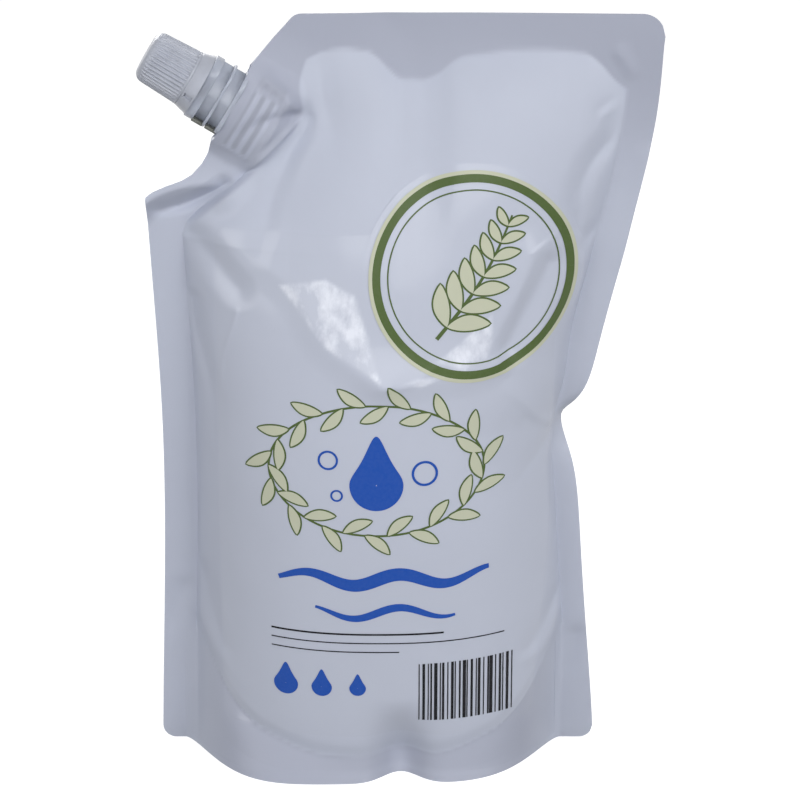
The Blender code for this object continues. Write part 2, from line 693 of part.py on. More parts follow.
def build_skin(name, material, outline, offset):
    """Thin film that follows the front sheet at an offset, trimmed to an outline in x and z."""
    x, z = sheet_grid()
    inside = slice(LEFT_COLUMNS, x.shape[0] - RIGHT_COLUMNS)
    y = sheet_y(x, z, True)
    xs, zs, ys = x[inside], z[inside], y[inside]
    low, high = min(p[1] for p in outline), max(p[1] for p in outline)
    rows = np.where((zs[0] > low - 8 * MM) & (zs[0] < high + 8 * MM))[0]
    bm = bmesh.new()
    layers = []
    for depth in (offset, offset + LABEL_THICKNESS):
        layers.append([[bm.verts.new((xs[i, j], ys[i, j] - depth, zs[i, j])) for j in rows]
                       for i in range(xs.shape[0])])
    near, far = layers
    join_grid(bm, near)
    join_grid(bm, far)
    for edge in (0, -1):
        join_grid(bm, [near[edge], far[edge]])
        join_grid(bm, [[column[edge] for column in near], [column[edge] for column in far]])
    skin = make_object(name, bm, material)
    bm = bmesh.new()
    reach = BASE_DEPTH + 20 * MM
    near_face = [bm.verts.new((px, -reach, pz)) for px, pz in outline]
    far_face = [bm.verts.new((px, 0.0, pz)) for px, pz in outline]
    bm.faces.new(near_face)
    bm.faces.new(far_face[::-1])
    for k in range(len(outline)):
        follow = (k + 1) % len(outline)
        bm.faces.new((near_face[k], far_face[k], far_face[follow], near_face[follow]))
    trim = make_object(name + "_trim", bm, material)
    boolean(skin, trim, "INTERSECT")
    shade_round(skin, 40)
    return skin


def label_outline():
    """Rounded outline of the large label, wider at its top where the sheet is flatter."""
    low, high = LABEL_BOTTOM, POUCH_HEIGHT - LABEL_TOP_DROP
    corners = ((LABEL_LEFT, low), (LABEL_LEFT + LABEL_WIDTH_LOW, low),
               (LABEL_LEFT + LABEL_WIDTH_HIGH, high), (LABEL_LEFT, high))
    points = []
    for k, (cx, cz) in enumerate(corners):
        sx = 1 if k in (0, 3) else -1
        sz = 1 if k in (0, 1) else -1
        for step in range(4):
            angle = math.radians(180 + 90 * k + 30 * step)
            points.append((cx + LABEL_CORNER * (sx + math.cos(angle)),
                           cz + LABEL_CORNER * (sz + math.sin(angle))))
    return points


def sticker_outline():
    """Circle of the round sticker."""
    middle = POUCH_HEIGHT - STICKER_DROP
    return [(STICKER_X + STICKER_RADIUS * math.cos(2 * math.pi * k / 36),
             middle + STICKER_RADIUS * math.sin(2 * math.pi * k / 36)) for k in range(36)]


def main():
    """Clear the scene and build every piece."""
    for shape in list(bpy.data.objects):
        bpy.data.objects.remove(shape, do_unlink=True)
    film = make_material("pearl_film", (0.50, 0.53, 0.61), 0.42)
    moulding = make_material("clear_grey_moulding", (0.40, 0.43, 0.52), 0.30, 1.0, 0.35)
    white = make_material("white_cap_plastic", (0.62, 0.63, 0.66), 0.35)
    foam = make_material("liner_foam", (0.80, 0.80, 0.80), 0.8)
    clear = make_material("clear_label_film", (0.75, 0.78, 0.84), 0.08, 0.25)
    build_pouch(film)
    build_spout(moulding)
    build_tamper_ring(white)
    build_cap(white)
    build_liner(foam)
    build_skin("front_label", clear, label_outline(), GAP)
    build_skin("round_sticker", clear, sticker_outline(), 2 * GAP + LABEL_THICKNESS)


main()
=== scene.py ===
"""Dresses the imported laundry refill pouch: film, labels, print, spout, ring and cap."""
import logging
import math
from dataclasses import dataclass, field
from enum import Enum

import bmesh
import bpy
import numpy as np
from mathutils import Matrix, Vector


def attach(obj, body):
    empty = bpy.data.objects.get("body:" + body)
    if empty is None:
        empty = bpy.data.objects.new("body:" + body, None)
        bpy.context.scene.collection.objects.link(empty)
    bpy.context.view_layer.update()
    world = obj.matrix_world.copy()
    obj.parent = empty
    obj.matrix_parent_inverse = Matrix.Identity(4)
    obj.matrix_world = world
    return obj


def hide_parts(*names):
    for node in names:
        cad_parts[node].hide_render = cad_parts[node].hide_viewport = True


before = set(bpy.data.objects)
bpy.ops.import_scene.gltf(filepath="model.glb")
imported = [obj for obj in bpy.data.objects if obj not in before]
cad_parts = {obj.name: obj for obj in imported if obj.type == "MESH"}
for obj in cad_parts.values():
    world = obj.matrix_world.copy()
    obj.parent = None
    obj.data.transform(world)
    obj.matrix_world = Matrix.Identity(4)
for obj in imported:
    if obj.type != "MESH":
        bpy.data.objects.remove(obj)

MM = 0.001
MIX_FIRST, MIX_SECOND, MIX_COLOUR = 6, 7, 2
OUTLINE_STEPS = 96
WHITE = (1.0, 1.0, 1.0, 1.0)
OLIVE, PALE_GREEN = (0.085, 0.13, 0.04), (0.56, 0.58, 0.45)
BLUE, BLACK = (0.018, 0.085, 0.42), (0.006, 0.006, 0.009)
log = logging.getLogger("pouch")


class Body(Enum):
    """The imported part's bodies that carry the new pieces."""

    POUCH = "filled_pouch"
    CAP = "screw_cap"


class Slot(Enum):
    """The record's material slots that the new pieces use."""

    FILM = "pearl_film"
    LABEL = "clear_label_film"
    MOULDING = "clear_grey_moulding"
    WHITE = "white_cap_plastic"


def smooth(share: np.ndarray) -> np.ndarray:
    """Ease from 0 to 1: three times the square less twice the cube of the clipped share."""
    share = np.clip(share, 0.0, 1.0)
    return share * share * (3.0 - 2.0 * share)


def curve(points: tuple, at: np.ndarray) -> np.ndarray:
    """Smooth curve through a few points: cubic pieces with the neighbours' slopes.

    Args:
        points: (position, value) pairs in millimetres, in rising order of position.
        at: Positions in metres.

    Returns:
        The values in metres.
    """
    place, value = (np.array(column) * MM for column in zip(*points))
    slope = np.gradient(value, place)
    k = np.clip(np.searchsorted(place, at) - 1, 0, len(place) - 2)
    run = place[k + 1] - place[k]
    t = np.clip((at - place[k]) / run, 0.0, 1.0)
    start = (1 + 2 * t) * (1 - t) ** 2 * value[k] + t * (1 - t) ** 2 * run * slope[k]
    return start + t * t * (3 - 2 * t) * value[k + 1] - t * t * (1 - t) * run * slope[k + 1]


def corner_rise(distance: np.ndarray, radius: float) -> np.ndarray:
    """Rise of a rounded corner from its straight edge at a distance from the side."""
    inside = np.clip(radius - distance, 0.0, radius)
    return radius - np.sqrt(radius * radius - inside * inside)


def full_turn(count: int) -> np.ndarray:
    """Angles of a whole turn in even steps, one row for each."""
    return np.linspace(0.0, 2 * np.pi, count, endpoint=False)[:, None]


def spun(radius: np.ndarray, height: np.ndarray, angle: np.ndarray) -> np.ndarray:
    """Points about the upright axis: radius times cosine, radius times sine, and height."""
    return np.stack(np.broadcast_arrays(radius * np.cos(angle), radius * np.sin(angle), height), -1)


def grid_faces(columns: int, rows: int, wrap: bool = False) -> np.ndarray:
    """Quads of a grid whose points are stored column by column.

    Args:
        columns: Number of columns.
        rows: Number of points in each column.
        wrap: Whether the last column joins the first.

    Returns:
        An array of four indices for each quad.
    """
    span = columns if wrap else columns - 1
    i, j = np.meshgrid(np.arange(span), np.arange(rows - 1), indexing="ij")
    k = (i + 1) % columns
    quads = np.stack((i * rows + j, k * rows + j, k * rows + j + 1, i * rows + j + 1), axis=-1)
    return quads.reshape(-1, 4)


def mesh_object(name: str, grids: list, merge: float = 1e-7) -> bpy.types.Object:
    """Object made of grids of quads that are welded where their borders meet.

    Args:
        name: Name of the piece.
        grids: Pairs of a (columns, rows, 3) array and whether its columns wrap.
        merge: Distance below which points are welded.

    Returns:
        The object, smooth shaded, with its faces pointing outwards as the grids give them.
    """
    points, faces, start = [], [], 0
    for grid, wrap in grids:
        columns, rows = grid.shape[:2]
        points.append(grid.reshape(-1, 3))
        faces.append(grid_faces(columns, rows, wrap) + start)
        start += columns * rows
    places, quads = np.concatenate(points), np.concatenate(faces)
    mesh = bpy.data.meshes.new(name)
    mesh.vertices.add(len(places))
    mesh.vertices.foreach_set("co", places.astype(np.float32).ravel())
    mesh.loops.add(quads.size)
    mesh.loops.foreach_set("vertex_index", quads.astype(np.int32).ravel())
    mesh.polygons.add(len(quads))
    mesh.polygons.foreach_set("loop_start", np.arange(0, quads.size, 4, dtype=np.int32))
    mesh.update(calc_edges=True)
    piece = bpy.data.objects.new(name, mesh)
    bpy.context.scene.collection.objects.link(piece)
    weld(mesh, merge)
    return piece


def weld(mesh: bpy.types.Mesh, distance: float) -> None:
    """Merge points that coincide and shade the mesh smooth."""
    shell = bmesh.new()
    shell.from_mesh(mesh)
    bmesh.ops.remove_doubles(shell, verts=shell.verts, dist=distance)
    bmesh.ops.dissolve_degenerate(shell, edges=shell.edges, dist=distance)
    shell.to_mesh(mesh)
    shell.free()
    mesh.shade_smooth()


def outward(piece: bpy.types.Object) -> None:
    """Turn all faces of a closed piece outwards."""
    shell = bmesh.new()
    shell.from_mesh(piece.data)
    bmesh.ops.recalc_face_normals(shell, faces=shell.faces)
    shell.to_mesh(piece.data)
    shell.free()


def sharpen(piece: bpy.types.Object, degrees: float) -> None:
    """Keep edges sharp past an angle."""
    piece.data.set_sharp_from_angle(angle=math.radians(degrees))


def closed_object(name: str, grids: list, sharp: float, merge: float = 1e-7) -> bpy.types.Object:
    """Closed piece of grids: faces outwards, and edges sharp past an angle in degrees."""
    piece = mesh_object(name, grids, merge)
    outward(piece)
    sharpen(piece, sharp)
    return piece


def point_places(piece: bpy.types.Object) -> np.ndarray:
    """Places of a piece's points, in three rows."""
    places = np.zeros(len(piece.data.vertices) * 3, np.float32)
    piece.data.vertices.foreach_get("co", places)
    return places.reshape(-1, 3).T.astype(float)


def note_points(piece: bpy.types.Object, name: str, value: np.ndarray) -> None:
    """Write a number for each point as an attribute."""
    attribute = piece.data.attributes.new(name, "FLOAT", "POINT")
    attribute.data.foreach_set("value", value.astype(np.float32))


def finish_piece(piece: bpy.types.Object, body: Body, material: bpy.types.Material,
                 nodes: tuple = ()) -> bpy.types.Object:
    """Give a piece its finish, its body and the CAD nodes that it stands for.

    Args:
        piece: The piece, with its place in its mesh.
        body: Body that it moves with.
        material: Its material.
        nodes: CAD nodes that it replaces.

    Returns:
        The same piece.
    """
    piece.data.materials.clear()
    piece.data.materials.append(material)
    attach(piece, body.value)
    if nodes:
        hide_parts(*nodes)
    log.info("%s: %d faces on %s", piece.name, len(piece.data.polygons), body.value)
    return piece


@dataclass(frozen=True)
class Nodes:
    """Short way to place and link the nodes of one material."""

    material: bpy.types.Material

    @property
    def shader(self) -> bpy.types.Node:
        """The material's Principled node."""
        return self.material.node_tree.nodes["Principled BSDF"]

    def settle(self, values: dict) -> None:
        """Give some of the shader's inputs their values."""
        for key, value in values.items():
            self.shader.inputs[key].default_value = value

    def attribute(self, name: str) -> bpy.types.NodeSocket:
        """Value of an attribute of the surface."""
        return self.add("ShaderNodeAttribute", attribute_name=name).outputs["Fac"]

    def add(self, kind: str, **values) -> bpy.types.Node:
        """New node with attributes, or inputs by index given as i0, i1 and so on."""
        node = self.material.node_tree.nodes.new(kind)
        for key, value in values.items():
            if key[0] == "i" and key[1:].isdigit():
                node.inputs[int(key[1:])].default_value = value
            else:
                setattr(node, key, value)
        return node

    def link(self, source: bpy.types.NodeSocket, target: bpy.types.NodeSocket) -> None:
        """Join two sockets."""
        self.material.node_tree.links.new(source, target)

    def noise(self, scale: float, detail: float = 2.0, rough: float = 0.5,
              stretch: tuple = (1.0, 1.0, 1.0)) -> bpy.types.NodeSocket:
        """Noise on object coordinates.

        Args:
            scale: Waves for each metre.
            detail: Octaves.
            rough: Weight of the finer octaves.
            stretch: Factors of the three coordinates.

        Returns:
            The noise's value socket.
        """
        coordinates = self.add("ShaderNodeTexCoord")
        mapping = self.add("ShaderNodeMapping")
        mapping.inputs["Scale"].default_value = stretch
        self.link(coordinates.outputs["Object"], mapping.inputs["Vector"])
        noise = self.add("ShaderNodeTexNoise")
        noise.inputs["Scale"].default_value = scale
        noise.inputs["Detail"].default_value = detail
        noise.inputs["Roughness"].default_value = rough
        self.link(mapping.outputs["Vector"], noise.inputs["Vector"])
        return noise.outputs["Fac"]

    def bump(self, height: bpy.types.NodeSocket, depth: float, strength: float,
             below: bpy.types.NodeSocket = None) -> bpy.types.NodeSocket:
        """Bump of a height, laid over another bump if one is given."""
        node = self.add("ShaderNodeBump")
        node.inputs["Strength"].default_value = strength
        node.inputs["Distance"].default_value = depth
        self.link(height, node.inputs["Height"])
        if below is not None:
            self.link(below, node.inputs["Normal"])
        return node.outputs["Normal"]

    def mix(self, factor: bpy.types.NodeSocket, first: tuple | bpy.types.NodeSocket,
            second: tuple) -> bpy.types.NodeSocket:
        """Colour between a first colour, given or from a socket, and a second one by a factor."""
        node = self.add("ShaderNodeMix", data_type="RGBA")
        if isinstance(first, tuple):
            node.inputs[MIX_FIRST].default_value = (*first, 1.0)
        else:
            self.link(first, node.inputs[MIX_FIRST])
        node.inputs[MIX_SECOND].default_value = (*second, 1.0)
        self.link(factor, node.inputs[0])
        return node.outputs[MIX_COLOUR]

    def join(self, operation: str, first: bpy.types.NodeSocket, second: bpy.types.NodeSocket,
             clamp: bool = False) -> bpy.types.NodeSocket:
        """Sum or product of two values."""
        node = self.add("ShaderNodeMath", operation=operation, use_clamp=clamp)
        self.link(first, node.inputs[0])
        self.link(second, node.inputs[1])
        return node.outputs[0]

    def span(self, value: bpy.types.NodeSocket, low: float, high: float, out_low: float,
             out_high: float) -> bpy.types.NodeSocket:
        """Map a value from one range to another."""
        node = self.add("ShaderNodeMapRange", i1=low, i2=high, i3=out_low, i4=out_high)
        self.link(value, node.inputs[0])
        return node.outputs[0]


def new_material(name: str) -> Nodes:
    """Empty Principled material, wrapped for its nodes."""
    material = bpy.data.materials.new(name)
    material.use_nodes = True
    return Nodes(material)


@dataclass(frozen=True)
class FilmFinish:
    """Pearly laminated film: grey-blue white with a soft metallic sheen and faint crinkles."""

    body: tuple = (0.53, 0.565, 0.67)
    weld: tuple = (0.42, 0.445, 0.54)
    # Colour of the painted highlight on the clear label and sticker.
    painted_highlight: tuple = (0.88, 0.91, 1.0)
    roughness: float = 0.46
    gloss: float = 0.04
    coat_roughness: float = 0.3
    sheen_level: float = 0.2
    # Strength of the painted light and shade on the weld ribs.
    rib_light_contrast: float = 0.17
    crinkle: float = 0.16
    cloud_scale: float = 38.0
    cloud_depth: float = 0.10
    wisp_scale: float = 110.0
    rough_scale: float = 90.0

    def material(self, name: str) -> bpy.types.Material:
        """Material with greyer seals by the weld attribute, a painted highlight by a second attribute, and
        painted light and shade on the weld ribs by a third.
        """
        nodes = new_material(name)
        cloud = nodes.span(nodes.noise(self.cloud_scale, 3.0), 0.3, 0.7, 0.0, self.cloud_depth)
        greyer = nodes.join("ADD", nodes.attribute("weld"), cloud, True)
        film = nodes.mix(greyer, self.body, self.weld)
        # Painted highlight: the highlight attribute, broken into wisps, mixes in a pale bluish white.
        wisps = nodes.noise(self.wisp_scale, 5.0, 0.6, (1.0, 1.0, 0.6))
        wisps = nodes.span(wisps, 0.42, 0.62, 0.15, 1.0)
        painted_highlight_share = nodes.join("MULTIPLY", nodes.attribute("painted_highlight_share"), wisps)
        colour = nodes.mix(painted_highlight_share, film, self.painted_highlight)
        # Painted highlights on the weld ribs and painted shade between them, as a scale on the colour.
        rib_light_shade = nodes.span(nodes.attribute("ribs"), -1.0, 1.0, 1.0 - self.rib_light_contrast,
                          1.0 + self.rib_light_contrast)
        toned = nodes.add("ShaderNodeVectorMath", operation="SCALE")
        nodes.link(colour, toned.inputs[0])
        nodes.link(rib_light_shade, toned.inputs["Scale"])
        nodes.link(toned.outputs[0], nodes.shader.inputs["Base Color"])
        rough = nodes.span(nodes.noise(self.rough_scale, 2.0), 0.3, 0.7, self.roughness - 0.04,
                           self.roughness + 0.05)
        nodes.link(rough, nodes.shader.inputs["Roughness"])
        nodes.settle({"Specular IOR Level": self.sheen_level, "Coat Weight": self.gloss,
                      "Coat Roughness": self.coat_roughness})
        nodes.link(film_bump(nodes, self.crinkle), nodes.shader.inputs["Normal"])
        nodes.link(film_bump(nodes, self.crinkle * 0.7), nodes.shader.inputs["Coat Normal"])
        return nodes.material


def film_bump(nodes: Nodes, crinkle: float) -> bpy.types.NodeSocket:
    """Shared relief of film and label: slow waves, upright crinkles and a fine grain."""
    wave = nodes.bump(nodes.noise(55.0, 2.0, 0.45), 0.0016, crinkle)
    upright = nodes.bump(nodes.noise(140.0, 3.0, 0.5, (1.0, 1.0, 0.35)), 0.0006, crinkle, wave)
    return nodes.bump(nodes.noise(2600.0, 2.0, 0.6), 0.00004, crinkle, upright)


@dataclass(frozen=True)
class InkFinish:
    """Printed ink under a clear film."""

    colour: tuple
    mottle: float = 0.02
    roughness: float = 0.3
    shine: float = 0.15
    crinkle: float = 0.1
    binder: float = 0.6

    def material(self, name: str) -> bpy.types.Material:
        """Material of one ink, a little uneven as a toner print is."""
        nodes = new_material(name)
        pale = tuple(value + (self.binder - value) * self.mottle for value in self.colour)
        grain = nodes.span(nodes.noise(900.0, 3.0, 0.6), 0.35, 0.75, 0.0, 1.0)
        nodes.link(nodes.mix(grain, self.colour, pale), nodes.shader.inputs["Base Color"])
        nodes.settle({"Roughness": self.roughness, "Specular IOR Level": self.shine})
        nodes.link(film_bump(nodes, self.crinkle), nodes.shader.inputs["Normal"])
        return nodes.material


@dataclass(frozen=True)
class MouldingFinish:
    """Moulded plastic, white or see-through grey."""

    colour: tuple
    roughness: float = 0.38
    subsurface: float = 0.15
    transmission: float = 0.0
    light_reach: float = 0.0012
    grain_depth: float = 0.00001

    def material(self, name: str) -> bpy.types.Material:
        """Material with a faint moulded texture and a slight change of tone."""
        nodes = new_material(name)
        shade = tuple(value * 0.9 for value in self.colour)
        cloud = nodes.span(nodes.noise(220.0, 2.0), 0.35, 0.7, 0.0, 1.0)
        nodes.link(nodes.mix(cloud, self.colour, shade), nodes.shader.inputs["Base Color"])
        nodes.settle({"Roughness": self.roughness, "Subsurface Weight": self.subsurface,
                      "Subsurface Radius": (1.0, 1.0, 1.0), "Subsurface Scale": self.light_reach,
                      "Transmission Weight": self.transmission})
        grain = nodes.bump(nodes.noise(1800.0, 2.0), self.grain_depth, 0.15)
        nodes.link(grain, nodes.shader.inputs["Normal"])
        return nodes.material


@dataclass(frozen=True)
class Fold:
    """Crease of the film along a path of (x, z) points in millimetres.

    Its height goes from start to end along the path and is positive outwards. It falls off over
    the width left of the path and the width right of it, seen from the front along the path.
    """

    path: tuple
    start: float
    end: float
    left: float
    right: float
    soft: float = 0.8

    @property
    def line(self) -> np.ndarray:
        """Smooth path through the points: both coordinates are curves of the length so far."""
        points = np.array(self.path, float)
        run = np.concatenate(([0.0], np.cumsum(np.hypot(*np.diff(points, axis=0).T))))
        at = np.linspace(0.0, run[-1], 3 * len(points) - 2) * MM
        return np.stack([curve(tuple(zip(run, column)), at) for column in points.T], -1)

    def relief(self, x: np.ndarray, z: np.ndarray) -> np.ndarray:
        """Height times a tent of the distance to the path, to the power 1.5.

        Args:
            x: Places across in metres.
            z: Places up in metres.

        Returns:
            The relief in metres, outwards.
        """
        shape = np.broadcast(x, z).shape
        line, reach = self.line, max(self.left, self.right) * MM
        low, high = line.min(0) - reach, line.max(0) + reach
        if x.max() < low[0] or x.min() > high[0] or z.max() < low[1] or z.min() > high[1]:
            return np.zeros(shape)
        near, side, place = np.full(shape, np.inf), np.zeros(shape), np.zeros(shape)
        steps = np.diff(line, axis=0)
        lengths = np.hypot(steps[:, 0], steps[:, 1])
        ends = np.concatenate(([0.0], np.cumsum(lengths)))
        for foot, step, length, run in zip(line, steps / lengths[:, None], lengths, ends):
            dx, dz = x - foot[0], z - foot[1]
            along = np.clip(dx * step[0] + dz * step[1], 0.0, length)
            gap = np.hypot(dx - along * step[0], dz - along * step[1])
            closer = gap < near
            side = np.where(closer, step[0] * dz - step[1] * dx, side)
            place = np.where(closer, (run + along) / ends[-1], place)
            near = np.where(closer, gap, near)
        lean = side / np.maximum(near, 1e-9)
        width = ((self.left + self.right) + (self.left - self.right) * lean) / 2 * MM
        rounded = np.hypot(near, self.soft * MM) - self.soft * MM
        tent = np.clip(1.0 - rounded / width, 0.0, 1.0)
        return (self.start + (self.end - self.start) * place) * MM * tent ** 1.5


BODY_FOLDS = (
    Fold(((-27, 240.5), (-34, 233.5), (-42, 226), (-49, 218), (-56.5, 211), (-65, 206)),
         2.0, 2.2, 6, 2.4, 0.4),
    Fold(((-26, 243), (-34, 243), (-41, 241), (-46, 238)), -2.4, -0.5, 6, 3, 0.6),
    Fold(((-25.5, 242), (-25.8, 238), (-29, 231.5), (-31.8, 225.6), (-35.3, 217.4), (-37.4, 208.5),
          (-40, 198)), -2.6, -0.6, 5, 9),
    Fold(((-37, 257), (-33, 252.5), (-29, 248.5), (-26, 243.5)), 1.4, 1.2, 3, 4, 0.6),
    Fold(((-69, 205), (-63, 199), (-58, 194), (-52, 187.5), (-48.6, 184)), -1.2, -1.5, 6, 7, 2.0),
    Fold(((-50, 199), (-43.4, 195.8), (-30.2, 187.2), (-23, 176.6), (-17.1, 166.5), (-8, 159.5),
          (2, 153)), 0.6, 1.4, 15, 8, 1.2),
    Fold(((2, 153), (12, 153.5), (24, 155), (35, 155.5), (43, 160), (46.5, 172), (50, 184),
          (54, 196)), 1.2, 1.0, 13, 7, 1.2),
    Fold(((60, 192), (56, 184), (50.5, 174.5), (45.5, 164)), -2.2, -2.8, 9, 4.5, 1.5),
    Fold(((86, 241), (81.6, 233.5), (76.6, 228.7), (72.8, 222.4), (70, 214), (70, 203)),
         -2.0, -1.2, 5, 7),
    Fold(((81, 203), (75, 199.5), (71, 196)), -1.6, -0.7, 3.5, 5),
    Fold(((73, 190), (72, 180), (72.6, 170)), 0.7, 1.1, 3.5, 3.5),
    Fold(((73, 165), (69.8, 155), (69, 142), (67, 134)), -1.4, -1.6, 3, 4.5),
    Fold(((47, 147), (52.2, 142.2), (54.9, 138.2), (58.8, 133.1), (64, 129.5)),
         0.3, 1.3, 6, 3, 0.5),
    Fold(((64, 126), (56, 118), (50, 112)), -1.1, -0.2, 4, 5),
    Fold(((65, 131), (62, 140), (60, 150)), 0.6, 0.2, 4, 4),
    Fold(((-66, 176), (-63.5, 163), (-60, 151), (-58, 141), (-58, 128)), -1.5, -0.5, 5, 3),
    Fold(((-20, 262), (-18, 249), (-15.5, 240), (-14, 230)), -1.1, -0.2, 6, 4),
    Fold(((87, 251), (80.5, 246.8), (77, 245)), -1.4, -0.3, 2.5, 2.5),
    Fold(((86, 246.5), (80, 243.5)), 0.8, 0.3, 2.5, 3.5),
    Fold(((74, 262), (72.5, 250), (71, 238)), 1.0, 0.2, 8, 8, 1.5),
    Fold(((28, 258), (34, 252)), -0.5, -0.4, 7, 7, 2.0),
    Fold(((-70, 62), (-67, 55.5), (-62.4, 48.3), (-57, 41), (-50, 33)), 1.0, 0.1, 5, 3.5),
    Fold(((-64, 72), (-60, 57), (-56, 46)), -1.1, -0.4, 5, 4),
    Fold(((70, 64), (68.7, 57.8), (66, 50), (62, 44.5), (55, 42)), 1.1, 0.4, 3.5, 4),
    Fold(((66, 61), (60, 52), (55.5, 46)), -1.6, -0.6, 4, 5),
)

LABEL_CREASES = (
    Fold(((3.4, 152.7), (8, 152.4), (13.5, 154), (18.7, 158), (25.4, 161.3)),
         0.25, 0.15, 1.1, 1.1, 0.3),
    Fold(((-48.7, 176), (-52, 165), (-54.3, 158), (-55, 147)), 0.3, 0.15, 1.1, 1.1, 0.3),
    Fold(((70, 216), (69.8, 210)), 0.3, 0.3, 1.1, 1.1, 0.3),
    Fold(((66, 205.5), (62, 202), (54.5, 197)), 0.35, 0.2, 1.1, 1.1, 0.3),
    Fold(((42.3, 165), (42.8, 159), (45.5, 155)), 0.3, 0.2, 1.1, 1.1, 0.3),
)

SEAL_FOLDS = (
    Fold(((-84, 211), (-74, 216), (-63, 218.5), (-54, 217)), 7.0, 4.0, 13, 8.5, 1.0),
    Fold(((-76, 207.5), (-67, 209.5), (-60, 213), (-53, 217.5)), -1.5, -3.2, 5, 2.5, 0.4),
    Fold(((74, 42), (71.5, 30)), -1.1, -0.5, 5, 5, 1.5),
    Fold(((-72, 62), (-76, 48)), -0.9, -0.4, 5, 5, 1.5),
    Fold(((84, 264), (88, 258)), 0.8, 0.5, 3.5, 3, 1.0),
    Fold(((4, 276), (12, 266)), -0.6, -0.4, 9, 9, 3.0),
    Fold(((95, 226), (91, 205), (86, 190)), 0.7, 0.4, 5, 6, 2.0),
)


@dataclass(frozen=True)
class PaintedHighlight:
    """Painted highlight on the clear film: a convex outline given clockwise in millimetres."""

    corners: tuple
    strength: float = 1.0
    soft: float = 1.6 * MM

    def share(self, x: np.ndarray, z: np.ndarray) -> np.ndarray:
        """Soft step of the distance to the nearest side, 1 well inside and 0 outside."""
        points = np.array(self.corners) * MM
        inside = np.full(np.broadcast(x, z).shape, np.inf)
        for (x0, z0), (x1, z1) in zip(points, np.roll(points, -1, axis=0)):
            length = math.hypot(x1 - x0, z1 - z0)
            inside = np.minimum(inside, ((x - x0) * (z1 - z0) - (z - z0) * (x1 - x0)) / length)
        return self.strength * smooth(inside / self.soft)


# Outlines of painted highlight on the label and sticker, where the glossy film would catch a lamp.
PAINTED_HIGHLIGHTS = (
    PaintedHighlight(((-35, 187.5), (-17.5, 190.5), (-7, 185), (-1.5, 168), (2.5, 153), (-18, 166)), 0.85),
    PaintedHighlight(((20, 161), (41, 178), (41.5, 168), (39, 160.5), (31, 156.5)), 0.8),
    PaintedHighlight(((2, 154), (12, 155.5), (24, 160.5), (30, 158), (16, 152)), 0.5, 1.2 * MM),
)


def mark_painted_highlights(piece: bpy.types.Object) -> None:
    """Write how strongly each point of a clear film takes the painted highlight, from its places across
    and up.
    """
    x, _, z = point_places(piece)
    note_points(piece, "painted_highlight_share", np.max([painted_highlight.share(x, z) for painted_highlight in PAINTED_HIGHLIGHTS], axis=0))


